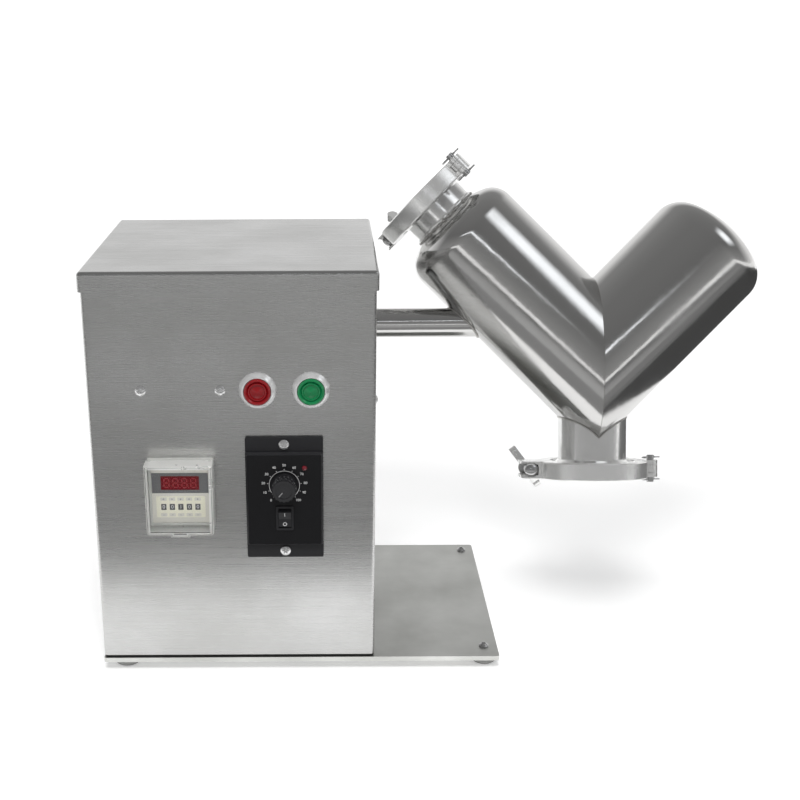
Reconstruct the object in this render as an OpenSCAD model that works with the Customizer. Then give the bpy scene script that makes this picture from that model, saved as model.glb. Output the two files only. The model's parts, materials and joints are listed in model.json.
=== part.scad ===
// Bench-top V blender: drive box on a base plate with a cantilevered V-shaped mixing vessel.
// X runs from the drive box to the vessel, Y to the back, Z up. Lengths in millimetres.

/* [Base] */
// Length of the base plate to the right of the housing
base_side = 102; // [80:1:160]
// Thickness of the base plate
base_t = 4; // [3:0.5:8]
// How far the base plate stands out in front of the housing
base_front = 2; // [0:0.5:5]
// How far the base plate stands out behind the housing
base_rear = 0; // [0:0.5:40]
// Corner radius of the base plate
base_r = 2; // [1:0.5:6]
// Diameter of a rubber foot
foot_d = 22; // [16:1:28]
// Height of a rubber foot
foot_h = 8; // [6:0.5:15]
// Left feet, distance of their centres from the left end of the plate
foot_left = 17; // [14:1:40]
// Right feet, distance of their centres from the right end of the plate
foot_right = 11; // [8:1:40]
// Front feet, distance of their centres from the front edge of the plate
foot_front = 17; // [14:1:40]
// Rear feet, distance of their centres from the rear edge of the plate
foot_rear = 12; // [11.5:0.5:40]
// Thickness of the seal strip under the housing
seal_t = 1.5; // [1:0.25:3]
// Width of the seal strip
seal_w = 6; // [4:0.5:6.5]

/* [Housing] */
// Width of the housing
housing_w = 220; // [216:1:280]
// Depth of the housing
housing_d = 210; // [206:1:258]
// Height from the base plate to the top of the cover
housing_h = 320; // [305:1:400]
// Thickness of the housing sheet
sheet = 1.5; // [1:0.1:2.5]
// Outer radius of the sheet's bends
bend_r = 3; // [2.8:0.1:5]
// Height of the cover's skirt
cover_skirt = 15; // [10:1:25]
// Width of the flanges that the rear panel is screwed to
rear_flange = 14; // [11:1:24]
// Length of a foot tab inside the side walls
tab_l = 16; // [14:1:30]
// Width of a foot tab
tab_w = 24; // [14:1:40]
// Vent slots in the rear panel
vent_count = 6; // [0:1:9]
// Distance between two vent slots
vent_pitch = 14; // [10:1:16]

/* [Screws] */
// Diameter of the sheet screws
screw_d = 4; // [3:0.5:5]
// Diameter of a pan head
screw_head_d = 8; // [6.5:0.5:9]
// Height of a pan head
screw_head_h = 2.6; // [2:0.2:4]
// Diameter of the drive's bolts
bolt_d = 8; // [6:0.5:9]

/* [Drive] */
// Height of the shaft's axis above the base plate
shaft_up = 252; // [240:1:275]
// Diameter of the shaft outside the housing
shaft_d = 24; // [21:0.5:30]
// Diameter of the shaft in its bearings
seat_d = 20; // [17:0.5:21]
// Height of the shelf's top above the base plate
shelf_up = 196; // [195:0.5:198]
// Thickness of the shelf
shelf_t = 3; // [2:0.5:4]
// Height of the bearing axis above the bearing's foot
bearing_h = 33.3; // [32:0.1:38]
// Length of a bearing's foot
bearing_l = 127; // [115:1:132]
// Width of a bearing's foot
bearing_w = 32; // [28:1:34]
// Distance between a bearing's bolts
bearing_bolts_l = 95; // [85:1:98]
// Diameter of the bearing insert
insert_d = 47; // [42:1:50]
// Distance of the right bearing from the housing's right side
bearing_in = 24; // [22:1:30]
// Distance between the two bearings
bearing_pitch = 38; // [36:1:45]
// Size of the square motor
motor_w = 80; // [70:1:86]
// Length of the motor
motor_l = 70; // [50:1:72]
// Length of the gearhead
gear_l = 38; // [30:1:40]
// Diameter of the gearhead's output shaft
output_d = 12; // [8:1:14]
// Length of the output shaft outside the gearhead
output_l = 26; // [20:1:30]
// Thickness of the motor bracket
bracket_t = 5; // [4:0.5:7]
// Thickness of the bearing stand's plate
stand_t = 4; // [3:0.5:6]
// Length of the run capacitor
capacitor_l = 52; // [40:1:60]
// Width of the run capacitor
capacitor_w = 28; // [20:1:30]
// Height of the run capacitor without its tags
capacitor_h = 36; // [30:1:45]
// Distance of the run capacitor from the housing's right side
capacitor_right = 30; // [20:1:60]
// Distance of the run capacitor from the housing's back
capacitor_rear = 35; // [20:1:60]

/* [Vessel] */
// Distance from the housing's right side to the middle of the V
vessel_out = 182.8; // [180:0.1:230]
// How far the vessel leans back at rest
tilt = 17; // [0:1:25]
// Outer diameter of a leg
leg_d = 101; // [90:1:108]
// Wall thickness of the vessel
wall = 2; // [1.5:0.25:3]
// Angle of a leg to the middle of the V
leg_angle = 45; // [42:1:46]
// How far the legs' axes meet below the shaft's axis
meet_drop = 35.4; // [33:0.2:40]
// Left leg, from the meeting point to the crown of its end
left_l = 175.6; // [160:0.2:180]
// Right leg, from the meeting point to the crown of its end
right_l = 157.5; // [145:0.5:175]
// Crown radius of a dished end
crown_r = 90; // [80:1:110]
// Knuckle radius of a dished end
knuckle_r = 20; // [16:1:24]
// Outer diameter of the inlet and outlet necks
neck_d = 56; // [50:1:58]
// Inlet clamp, from the meeting point to its middle
inlet_l = 194; // [190:1:198]
// Outlet clamp, how far its middle lies below the shaft's axis
outlet_drop = 122; // [120:1:135]

/* [Clamps] */
// Diameter of a ferrule's flange
flange_d = 77.5; // [76:0.5:80]
// Thickness of a flange at its rim
rim_t = 2.2; // [1.8:0.1:2.6]
// Slope of the flange's back
bevel = 20; // [14:1:22]
// Thickness of a gasket
gasket_t = 1.6; // [1:0.1:2]
// Outer diameter of a clamp ring
ring_d = 91; // [90:0.5:94]
// Inner diameter of a clamp ring's lips
lip_d = 68; // [66:0.5:71]
// Width of a clamp along the neck
clamp_w = 14; // [14:0.5:18]
// Distance of the hinge pin from the neck's axis
hinge_x = 48.5; // [47.5:0.5:51]
// Diameter of the hinge pin
pin_d = 5.9; // [5:0.1:6.2]
// Distance of the closing bolt from the neck's axis
bolt_x = 52; // [51:0.5:55]
// Diameter of the closing bolt
clamp_bolt_d = 8; // [6:0.5:8]
// Thickness of a closing lug
lug_t = 12; // [10:0.5:14]
// Turn of the inlet clamp about its neck
inlet_turn = 48; // [42:1:60]
// Reach of a wing from the bolt's axis
wing_r = 20; // [16:0.5:21]

/* [Timer] */
// Middle of the timer, from the housing's left side
timer_x = 69; // [50:1:80]
// Middle of the timer above the base plate
timer_up = 144.75; // [100:0.25:160]
// Width of the timer's frame
frame_w = 52; // [51:0.5:58]
// Height of the timer's frame
frame_h = 57.5; // [57:0.5:62]
// Thickness of the timer's frame
frame_t = 2.5; // [2:0.25:3]
// Size of the timer's square bezel
bezel_w = 48; // [47:0.5:48]
// Depth of the timer's bezel
bezel_t = 6; // [5:0.5:8]
// Size of the timer's body behind the panel
timer_body_w = 44.6; // [40:0.2:45]
// Depth of the timer's body behind the panel
timer_body_l = 72; // [40:1:90]
// Depth of the clear cover
lid_d = 16.3; // [14:0.1:20]
// Wall of the clear cover
lid_wall = 1.4; // [1:0.1:1.8]
// Distance of the cover's hinge from the panel
lid_axis = 5.5; // [5.5:0.1:6]
// Outer radius of the cover's hinge
lid_hinge_r = 2.5; // [2.3:0.1:2.7]

/* [Speed control] */
// Middle of the speed control, from the housing's left side
control_x = 149.4; // [140:0.2:170]
// Middle of the speed control above the base plate
control_up = 140.4; // [90:0.2:142]
// Width of the front
control_w = 60; // [56:0.5:64]
// Height of the front
control_h = 100.6; // [99:0.2:106]
// Thickness of the flanges at the top and bottom
control_flange_t = 2.5; // [2:0.25:4]
// Height of each flange
control_flange_h = 11.5; // [11:0.5:14]
// How far the middle stands out from the flanges
control_rise = 4; // [3:0.25:6]
// Depth of the body behind the panel
control_body_l = 60; // [30:1:80]
// Diameter of the knob
knob_d = 19; // [16:0.5:22]
// Height of the knob
knob_h = 13; // [10:0.5:15]
// Flutes round the knob
knob_flutes = 18; // [10:1:24]
// Knob above the middle of the speed control
knob_rise = 12.6; // [10:0.2:16]
// Rocker switch below the middle of the speed control
rocker_drop = 15; // [14:0.2:18]
// Width of the rocker switch
rocker_w = 13.5; // [12:0.5:16]
// Height of the rocker switch
rocker_h = 20; // [18:0.5:22]
// How far the rocker stands turned at rest
rocker_turn = 9; // [6:0.5:12]
// Lamp to the right of the knob
lamp_right = 15.6; // [14:0.2:18]
// Lamp above the knob
lamp_rise = 14; // [12:0.2:16]
// Diameter of the lamp
lamp_d = 4; // [3:0.5:5]

/* [Buttons] */
// Stop button, from the housing's left side
stop_x = 130; // [120:0.5:135]
// Start button, from the housing's left side
start_x = 170.6; // [168:0.2:180]
// Buttons above the base plate
button_up = 228; // [226:0.5:240]
// Diameter of a bezel
button_bezel_d = 29; // [27:0.5:32]
// Height of a bezel
button_bezel_h = 5; // [3.5:0.25:6]
// Diameter of a button's lens
lens_d = 20.6; // [18:0.2:21]
// How far the lens stands out from the bezel
lens_out = 1.5; // [0.5:0.25:4]
// Diameter of a button's body
button_body_d = 22.4; // [22.4:0.1:24]
// Depth of a button's body behind the panel
button_body_l = 26; // [22:0.5:27]
// Travel of a button
button_travel = 4; // [2:0.5:5]

/* [Mounting screws] */
// Left shelf screw on the front, from the housing's left side
front_screw_left = 41.2; // [36:0.2:50]
// Right shelf screw on the front, from the housing's left side
front_screw_right = 101.6; // [90:0.2:102]
// Shelf screws on the sides, from the housing's front
side_screw_y = 28; // [24:1:34]
// Shelf screws on the sides, above the shelf
side_screw_up = 15; // [10:1:20]

/* [Clearances] */
// Gap round a screw or bolt in its hole
hole_gap = 0.2; // [0.1:0.05:0.4]
// Radial gap of a turning or sliding fit
run_gap = 0.05; // [0.02:0.01:0.1]
// Gap between pieces of different moving bodies
move_gap = 0.3; // [0.2:0.05:0.5]
// Gap at a weld seam
weld_gap = 0.05; // [0.02:0.01:0.1]
// Gap between the cover's skirt and the housing
cover_gap = 0.3; // [0.1:0.05:0.6]
// Gap between the two halves of a clamp
split_gap = 2; // [1:0.25:3]

/* [Hidden] */
$fn = 96;
overlap = 1;
base_len = housing_w + base_side;
base_d = base_front + housing_d + base_rear;
plate_z = foot_h + base_t;
house_z = plate_z + seal_t;
top_z = plate_z + housing_h;
wall_top = top_z - sheet;
wrap_d = housing_d - sheet;
inner_w = housing_w - 2 * sheet;
cover_out = cover_gap + sheet;
contact_l = 9;
button_back = button_body_l + contact_l;
bearing_room = 2;
shaft_y = max(housing_d / 2, button_back + bearing_room + bearing_l / 2);
shaft_z = plate_z + shaft_up;
shelf_z = plate_z + shelf_up;
button_z = plate_z + button_up;
timer_z = plate_z + timer_up;
control_z = plate_z + control_up;
knob_z = control_z + knob_rise;
rocker_z = control_z - rocker_drop;
screw_hole_d = screw_d + 2 * hole_gap;
bolt_hole_d = bolt_d + 2 * hole_gap;

// Places along the shaft
bearing_right_x = housing_w - bearing_in;
bearing_left_x = bearing_right_x - bearing_pitch;
bearing_xs = [bearing_left_x, bearing_right_x];
bracket_gap = 12;
bracket_x = bearing_left_x - bearing_w / 2 - bracket_gap;
gear_x = bracket_x - bracket_t;
shaft_start = bracket_x + 2;
shaft_step_x = bearing_right_x + bearing_w / 2 + 2;
output_hold = 10;
boss_d = 34;
boss_l = 3;

// Bearing stand between the shelf and the bearings
stand_top = shaft_z - bearing_h;
stand_side = 1;
stand_x0 = bearing_left_x - bearing_w / 2 - stand_side;
stand_x1 = bearing_right_x + bearing_w / 2 + stand_side;
stand_l = bearing_l + 1;
stand_foot = 20;
bracket_w = motor_w + 8;
bracket_foot = 32;
bearing_foot_t = 14;

// Shelf flanges
shelf_flange_x0 = front_screw_left - 13;
shelf_flange_x1 = front_screw_right + 11;
shelf_flange_top = button_z + 10;
side_flange_y = side_screw_y - 12;
side_flange_l = 150;
side_flange_h = side_screw_up + 10;

// Screw rows
tab_ys = [60, 150];
tab_in = 9;
rear_screw_in = rear_flange / 2 + sheet;
rear_screw_zs = [house_z + 20, (house_z + wall_top) / 2, wall_top - cover_skirt - 12];
cover_screw_in = 60;
cover_screw_xs = [cover_screw_in, housing_w - cover_screw_in];
cover_screw_drop = cover_skirt / 2 + sheet;
nut_t = 3;
hole_reach = 30;

// Vessel, in its own frame with the shaft's axis as X and the V's middle at X = 0
vessel_x = housing_w + vessel_out;
leg_r = leg_d / 2;
knuckle_in = leg_r - knuckle_r;
crown_drop = sqrt(pow(crown_r - knuckle_r, 2) - pow(knuckle_in, 2));
dish_h = crown_r - crown_drop;
neck_r = neck_d / 2;
neck_in_r = neck_r - wall;
neck_base = sqrt(pow(crown_r, 2) - pow(neck_r, 2)) - crown_r;

// Clamps and ferrules
flange_r = flange_d / 2;
face_z = gasket_t / 2;
lip_r = lip_d / 2;
ring_r = ring_d / 2;
half_w = clamp_w / 2;
groove_gap = 0.2;
ear_r = 6;
tongue_half = half_w - 3.9;
lug_out = bolt_x + 8;
slot_w = clamp_bolt_d + 1;
slot_in = bolt_x - clamp_bolt_d / 2 - 1.5;
pocket_d = 11.6;
pocket_t = 5;
head_r = 5.4;
head_t = 5.4;
nut_h = 7;
nut_r = 7;
nut_gap = 0.1;
bolt_spare = 14;
bolt_start = split_gap / 2 + lug_t - pocket_t;
bolt_end = split_gap / 2 + lug_t + nut_h + bolt_spare;
cotter_out = 2.2;
wire_r = 0.9;

// Timer
cutout_w = timer_body_w + 0.8;
frame_bottom = timer_z - frame_h / 2;
frame_top = timer_z + frame_h / 2;
lid_axis_z = frame_top - lid_hinge_r - 0.1;
lid_back = frame_t + move_gap;
lid_front = lid_back + lid_d;
lid_bottom = frame_bottom + 0.2;
lip_w = 15;
lip_h = 1.8;
hinge_pin_r = 1;
hinge_ear_w = 2;
hinge_ear_half = lid_hinge_r - 1;
hinge_ear_x = frame_w / 2 - lid_wall - move_gap - hinge_ear_w;
ear_notch = hinge_ear_half + 2 * move_gap;
face_w = 44.4;
face_t = 1.2;
face_in = 0.8;
display_w = 30;
display_h = 11.6;
display_up = 11;
key_count = 5;
key_pitch = 6.6;
key_w = 5;
key_h = 2.6;
key_out = 0.7;
key_rows = [-2.2, -15.4];

// Speed control
control_mid_h = control_h - 2 * control_flange_h;
control_front = control_flange_t + control_rise;
control_chamfer = 2.5;
control_body_w = control_w - 8;
control_body_h = control_mid_h - 4;
control_screw_in = control_flange_h / 2;
pot_d = 6;
pot_l = 10;
rocker_frame_out = 1.2;
rocker_inner_w = rocker_w - 3.4;
rocker_inner_h = rocker_h - 3.4;
rocker_r = rocker_inner_h / 2 - move_gap;
rocker_axis = control_front - 2.5;
rocker_pocket = rocker_r + 2 * move_gap;
knob_front = control_front + move_gap + knob_h;

// Buttons
guide_d = 16;
lens_seat = 1;
lens_bore_d = lens_d + 2 * move_gap;
lens_deep = lens_seat + button_travel + move_gap;
stem_end = button_body_l - button_travel - move_gap;
contact_w = 22;
button_nut_d = 28;
button_nut_t = 4;

// Bush at the right wall
bush_d = shaft_d + 5;

// Gland
gland_out = 22;
gland_x = 35;
gland_z = plate_z + 40;
gland_d = 24;
gland_thread_d = 16;

// Half the part's reach in X and Y, so that the origin is under the middle of its box
reach_left = -max(cover_out, screw_head_h);
knuckle_along = right_l - dish_h;
reach_right = vessel_x + knuckle_along * sin(leg_angle) + knuckle_in * cos(leg_angle) + knuckle_r;
reach_front = -knob_front;
reach_back = housing_d + gland_out;
mid_x = (reach_left + reach_right) / 2;
mid_y = (reach_front + reach_back) / 2;

// Shifts from the housing's left front corner on the floor to the part's own origin
module layout() {
    translate([-mid_x, -mid_y, 0]) children();
}

// A place on the front panel: X right, Y up, Z out of the panel
module panel_place(x, z) {
    layout() translate([x, 0, z]) rotate([90, 0, 0]) children();
}

// A place on the back: Z out of the rear panel
module rear_place(x, z) {
    layout() translate([x, housing_d, z]) rotate([-90, 0, 0]) children();
}

// A place on the shaft's axis: Z along the shaft, towards the vessel
module shaft_place(x) {
    layout() translate([x, shaft_y, shaft_z]) rotate([0, 90, 0]) children();
}

// The vessel's own frame: X along the shaft, Z up the middle of the V
module vessel_place() {
    layout() translate([vessel_x, shaft_y, shaft_z]) rotate([-tilt, 0, 0]) children();
}

// A leg's axis as Z, from the point where both legs' axes meet; side is -1 left, 1 right
module leg_place(side) {
    translate([0, 0, -meet_drop]) rotate([0, side * leg_angle, 0]) children();
}

// Middle of the inlet's gasket, Z out of the vessel
module inlet_place() {
    vessel_place() leg_place(-1) translate([0, 0, inlet_l]) children();
}

// Middle of the outlet's gasket, Z up the middle of the V
module outlet_place() {
    vessel_place() translate([0, 0, -outlet_drop]) children();
}

module inlet_clamp_place() {
    inlet_place() rotate([0, 0, -inlet_turn]) children();
}

module at_feet() {
    front_y = foot_front - base_front;
    rear_y = base_d - base_front - foot_rear;
    for (x = [foot_left, base_len - foot_right], y = [front_y, rear_y]) {
        translate([x, y, 0]) children();
    }
}

module at_tabs() {
    for (x = [tab_in, housing_w - tab_in], y = tab_ys) translate([x, y, 0]) children();
}

module at_front_screws() {
    for (x = [front_screw_left, front_screw_right]) panel_place(x, button_z) children();
}

module at_side_screws() {
    z = shelf_z + side_screw_up;
    layout() translate([housing_w, side_screw_y, z]) rotate([0, 90, 0]) children();
    layout() translate([0, side_screw_y, z]) rotate([0, -90, 0]) children();
}

module at_rear_screws() {
    for (x = [rear_screw_in, housing_w - rear_screw_in], z = rear_screw_zs) {
        rear_place(x, z) children();
    }
}

module at_cover_screws() {
    for (x = cover_screw_xs) {
        rear_place(x, top_z - cover_screw_drop) translate([0, 0, cover_out]) children();
    }
}

module at_control_screws() {
    up = control_h / 2 - control_screw_in;
    for (side = [-1, 1]) {
        panel_place(control_x, control_z) translate([0, side * up, control_flange_t]) children();
    }
}

// Rectangle with round corners, its lower left corner at the origin
module round_rect(w, h, r) {
    translate([r, 0]) square([w - 2 * r, h]);
    translate([0, r]) square([w, h - 2 * r]);
    for (x = [r, w - r], y = [r, h - r]) translate([x, y]) circle(r);
}

module round_rect_mid(w, h, r) {
    translate([-w / 2, -h / 2]) round_rect(w, h, r);
}

// Box with round upright edges and round top edges
module round_top(w, d, h, r) {
    linear_extrude(h - r) round_rect(w, d, r);
    translate([r, r, 0]) cube([w - 2 * r, d - 2 * r, h]);
    for (y = [r, d - r]) translate([r, y, h - r]) rotate([0, 90, 0]) cylinder(r = r, h = w - 2 * r);
    for (x = [r, w - r]) translate([x, r, h - r]) rotate([-90, 0, 0]) cylinder(r = r, h = d - 2 * r);
    for (x = [r, w - r], y = [r, d - r]) translate([x, y, h - r]) sphere(r);
}

// Pan-head screw with a cross recess, its head on Z = 0 and its shank below
module pan_screw(grip, nut) {
    dome_r = screw_head_d * 0.7;
    recess_w = 0.9;
    recess_l = screw_head_d * 0.55;
    recess_t = 1.2;
    difference() {
        intersection() {
            cylinder(d = screw_head_d, h = screw_head_h);
            translate([0, 0, screw_head_h - dome_r]) sphere(dome_r);
        }
        for (turn = [45, 135]) {
            rotate(turn) translate([-recess_l / 2, -recess_w / 2, screw_head_h - recess_t])
                cube([recess_l, recess_w, 2 * recess_t]);
        }
    }
    shank_l = grip + (nut ? nut_t : 0);
    translate([0, 0, -shank_l]) cylinder(d = screw_d, h = shank_l + overlap / 2);
    if (nut) translate([0, 0, -shank_l]) cylinder(d = 1.9 * screw_d, h = nut_t, $fn = 6);
}

// Hexagon bolt with its nut, its head on Z = 0 and its grip below
module hex_bolt(d, grip, nut) {
    hex_d = 1.9 * d;
    head_h = 0.65 * d;
    shank_l = grip + (nut ? head_h : 0);
    cylinder(d = hex_d, h = head_h, $fn = 6);
    translate([0, 0, -shank_l]) cylinder(d = d, h = shank_l + overlap);
    if (nut) translate([0, 0, -shank_l]) cylinder(d = hex_d, h = head_h, $fn = 6);
}

module base_plate() {
    color("silver") layout() difference() {
        translate([0, -base_front, foot_h]) linear_extrude(base_t) round_rect(base_len, base_d, base_r);
        at_feet() cylinder(d = screw_hole_d, h = plate_z + overlap);
        at_tabs() cylinder(d = screw_hole_d, h = plate_z + overlap);
    }
}

module base_seal() {
    inset = 0.5;
    w = housing_w - 2 * inset;
    d = housing_d - 2 * inset;
    color("black") layout() translate([inset, inset, plate_z]) linear_extrude(seal_t) difference() {
        round_rect(w, d, bend_r);
        translate([seal_w, seal_w]) square([w - 2 * seal_w, d - 2 * seal_w]);
    }
}

module feet() {
    edge = 3;
    screw_deep = foot_h - 2;
    color("dimgray") layout() at_feet() difference() {
        rotate_extrude() {
            square([foot_d / 2 - edge, foot_h]);
            translate([0, edge]) square([foot_d / 2, foot_h - edge]);
            translate([foot_d / 2 - edge, edge]) circle(edge);
        }
        translate([0, 0, foot_h - screw_deep]) cylinder(d = screw_hole_d, h = foot_h);
    }
}

module foot_screws() {
    color("silver") layout() at_feet() translate([0, 0, plate_z]) pan_screw(base_t + foot_h - 3, false);
}

// Plan of the housing's bent sheet: front, sides and the rear flanges
module wrap_2d() {
    difference() {
        union() {
            translate([0, bend_r]) square([housing_w, wrap_d - bend_r]);
            translate([bend_r, 0]) square([housing_w - 2 * bend_r, 2 * bend_r]);
            for (x = [bend_r, housing_w - bend_r]) translate([x, bend_r]) circle(bend_r);
        }
        translate([sheet, bend_r]) square([inner_w, wrap_d - sheet - bend_r]);
        translate([bend_r, sheet]) square([housing_w - 2 * bend_r, bend_r]);
        for (x = [bend_r, housing_w - bend_r]) translate([x, bend_r]) circle(bend_r - sheet);
        translate([rear_flange, wrap_d - 2 * sheet]) square([housing_w - 2 * rear_flange, 3 * sheet]);
    }
}

module bush_hole() {
    translate([0, 0, -3 * sheet]) cylinder(d = bush_d + 2 * hole_gap, h = 6 * sheet);
}

module sheet_hole(d) {
    translate([0, 0, -4 * sheet]) cylinder(d = d, h = 8 * sheet);
}

module housing_wrap() {
    color("lightgray") difference() {
        layout() {
            translate([0, 0, house_z]) linear_extrude(wall_top - house_z) wrap_2d();
            for (y = tab_ys) {
                translate([sheet / 2, y - tab_w / 2, house_z]) cube([tab_l, tab_w, sheet]);
                translate([housing_w - sheet / 2 - tab_l, y - tab_w / 2, house_z])
                    cube([tab_l, tab_w, sheet]);
            }
        }
        layout() at_tabs() translate([0, 0, house_z - sheet]) cylinder(d = screw_hole_d, h = 3 * sheet);
        panel_place(timer_x, timer_z) cube([cutout_w, cutout_w, 4 * sheet], center = true);
        panel_place(control_x, control_z)
            cube([control_body_w + 1, control_body_h + 1, 4 * sheet], center = true);
        at_control_screws() sheet_hole(screw_hole_d);
        at_front_screws() sheet_hole(screw_hole_d);
        at_side_screws() sheet_hole(screw_hole_d);
        at_rear_screws() sheet_hole(screw_hole_d);
        for (x = [stop_x, start_x]) panel_place(x, button_z) sheet_hole(button_body_d + 2 * hole_gap);
        shaft_place(housing_w) bush_hole();
    }
}

module rear_panel() {
    vent_l = 70;
    vent_w = 5;
    vent_z = shelf_z - 45;
    side_in = 0.5;
    color("lightgray") difference() {
        layout() translate([side_in, wrap_d, house_z])
            cube([housing_w - 2 * side_in, sheet, wall_top - house_z]);
        at_rear_screws() sheet_hole(screw_hole_d);
        at_cover_screws() sheet_hole(screw_hole_d);
        rear_place(gland_x, gland_z) sheet_hole(gland_thread_d + 2 * hole_gap);
        if (vent_count > 0) for (i = [0 : vent_count - 1]) {
            rear_place(housing_w / 2, vent_z - i * vent_pitch) linear_extrude(6 * sheet, center = true)
                round_rect_mid(vent_l, vent_w, vent_w / 2 - 0.01);
        }
    }
}

module top_cover() {
    w = housing_w + 2 * cover_out;
    d = housing_d + 2 * cover_out;
    color("lightgray") difference() {
        layout() translate([-cover_out, -cover_out, top_z - cover_skirt]) difference() {
            round_top(w, d, cover_skirt, bend_r);
            translate([sheet, sheet, -overlap]) linear_extrude(cover_skirt - sheet + overlap)
                round_rect(w - 2 * sheet, d - 2 * sheet, bend_r - sheet);
        }
        at_cover_screws() sheet_hole(screw_hole_d);
    }
}

module housing_screws() {
    color("silver") {
        at_front_screws() pan_screw(sheet + shelf_t, true);
        at_side_screws() pan_screw(sheet + shelf_t, true);
        at_rear_screws() pan_screw(2 * sheet, true);
        at_cover_screws() pan_screw(sheet + cover_out, true);
        layout() at_tabs() translate([0, 0, foot_h]) mirror([0, 0, 1])
            pan_screw(base_t + seal_t + sheet, true);
    }
}

module at_stand_bolts() {
    x_in = 14;
    y_out = stand_l / 2 + stand_foot / 2 + 1;
    for (x = [stand_x0 + x_in, stand_x1 - x_in], y = [shaft_y - y_out, shaft_y + y_out]) {
        layout() translate([x, y, shelf_z + stand_t]) children();
    }
}

module at_bracket_bolts() {
    for (y = [shaft_y - motor_w / 3, shaft_y + motor_w / 3]) {
        layout() translate([gear_x - bracket_foot / 2, y, shelf_z + bracket_t]) children();
    }
}

module at_bearing_bolts(xs) {
    for (x = xs, side = [-1, 1]) {
        layout() translate([x, shaft_y + side * bearing_bolts_l / 2, stand_top + bearing_foot_t])
            children();
    }
}

module at_gear_screws() {
    corner = motor_w / 2 - 8;
    for (y = [-corner, corner], z = [-corner, corner]) shaft_place(bracket_x) translate([z, y, 0]) children();
}

module through_hole(d) {
    translate([0, 0, -hole_reach]) cylinder(d = d, h = 2 * hole_reach);
}

module bearing_shelf() {
    deck_y = sheet + bend_r;
    deck_d = wrap_d - sheet - 1 - deck_y;
    lead_slot_l = 60;
    lead_slot_w = 18;
    lead_slot_in = 40;
    color("gainsboro") difference() {
        layout() {
            translate([sheet, deck_y, shelf_z - shelf_t]) cube([inner_w, deck_d, shelf_t]);
            translate([shelf_flange_x0, sheet, shelf_z - shelf_t]) {
                cube([shelf_flange_x1 - shelf_flange_x0, deck_y, shelf_t]);
                cube([shelf_flange_x1 - shelf_flange_x0, shelf_t, shelf_flange_top - shelf_z + shelf_t]);
            }
            for (x = [sheet, housing_w - sheet - shelf_t]) {
                translate([x, side_flange_y, shelf_z - shelf_t])
                    cube([shelf_t, side_flange_l, side_flange_h + shelf_t]);
            }
        }
        at_front_screws() sheet_hole(screw_hole_d);
        at_side_screws() sheet_hole(screw_hole_d);
        at_stand_bolts() through_hole(bolt_hole_d);
        at_bracket_bolts() through_hole(bolt_hole_d);
        layout() translate([tab_l, housing_d - lead_slot_in, shelf_z - 2 * shelf_t])
            linear_extrude(3 * shelf_t) round_rect(lead_slot_l, lead_slot_w, lead_slot_w / 2 - 0.01);
    }
}

module bearing_stand() {
    w = stand_x1 - stand_x0;
    color("gray") difference() {
        layout() translate([stand_x0, shaft_y, 0]) {
            translate([0, -stand_l / 2, stand_top - stand_t]) cube([w, stand_l, stand_t]);
            for (side = [0, 1]) mirror([0, side, 0]) {
                translate([0, stand_l / 2 - stand_t, shelf_z]) cube([w, stand_t, stand_top - shelf_z]);
                translate([0, stand_l / 2 - stand_t, shelf_z]) cube([w, stand_foot + stand_t, stand_t]);
            }
        }
        at_stand_bolts() through_hole(bolt_hole_d);
        at_bearing_bolts(bearing_xs) through_hole(bolt_hole_d);
    }
}

// Cast pillow block: foot, round body and the sloping cheeks between them
module pillow_block(x) {
    body_r = insert_d / 2 + 6;
    body_w = bearing_w - 10;
    cheek_w = body_w - 4;
    cheek_out = bearing_bolts_l / 2 - bolt_d - 3.5;
    color("darkseagreen") difference() {
        union() {
            layout() translate([x - bearing_w / 2, shaft_y - bearing_l / 2, stand_top])
                linear_extrude(bearing_foot_t) round_rect(bearing_w, bearing_l, 8);
            shaft_place(x) {
                cylinder(r = body_r, h = body_w, center = true);
                linear_extrude(cheek_w, center = true) polygon([
                    [bearing_h - 1, -cheek_out], [bearing_h - 1, cheek_out],
                    [bearing_h - bearing_foot_t, cheek_out],
                    [0, body_r - 1], [0, 1 - body_r],
                    [bearing_h - bearing_foot_t, -cheek_out]
                ]);
            }
        }
        shaft_place(x) cylinder(d = insert_d + 2 * run_gap, h = 2 * bearing_w, center = true);
        at_bearing_bolts([x]) through_hole(bolt_hole_d);
    }
}

module bearing_housing_left() {
    pillow_block(bearing_left_x);
}

module bearing_housing_right() {
    pillow_block(bearing_right_x);
}

module drive_bolts() {
    color("dimgray") {
        at_bearing_bolts(bearing_xs) hex_bolt(bolt_d, bearing_foot_t + stand_t, true);
        at_stand_bolts() hex_bolt(bolt_d, stand_t + shelf_t, true);
        at_bracket_bolts() hex_bolt(bolt_d, bracket_t + shelf_t, true);
        at_gear_screws() hex_bolt(screw_d, bracket_t + 10, false);
    }
}

module motor_case() {
    end_l = 9;
    rib_count = 30;
    body_r = motor_w / 2 - 3;
    color("slategray") shaft_place(gear_x - gear_l - motor_l) {
        translate([0, 0, motor_l - end_l]) linear_extrude(end_l) round_rect_mid(motor_w, motor_w, 8);
        difference() {
            cylinder(r = body_r, h = motor_l - end_l + overlap);
            for (i = [0 : rib_count - 1]) rotate(i * 360 / rib_count) {
                translate([body_r - 1.5, -1.2, end_l]) cube([3, 2.4, motor_l - 2.4 * end_l]);
            }
        }
    }
}

module gearhead() {
    color("silver") difference() {
        shaft_place(gear_x - gear_l) {
            linear_extrude(gear_l) round_rect_mid(motor_w, motor_w, 6);
            cylinder(d = boss_d, h = gear_l + boss_l);
        }
        shaft_place(gear_x - output_hold - overlap)
            cylinder(d = output_d + 2 * run_gap, h = output_hold + boss_l + 2 * overlap);
        at_gear_screws() translate([0, 0, -bracket_t - 11]) cylinder(d = screw_hole_d, h = 12);
    }
}

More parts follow.
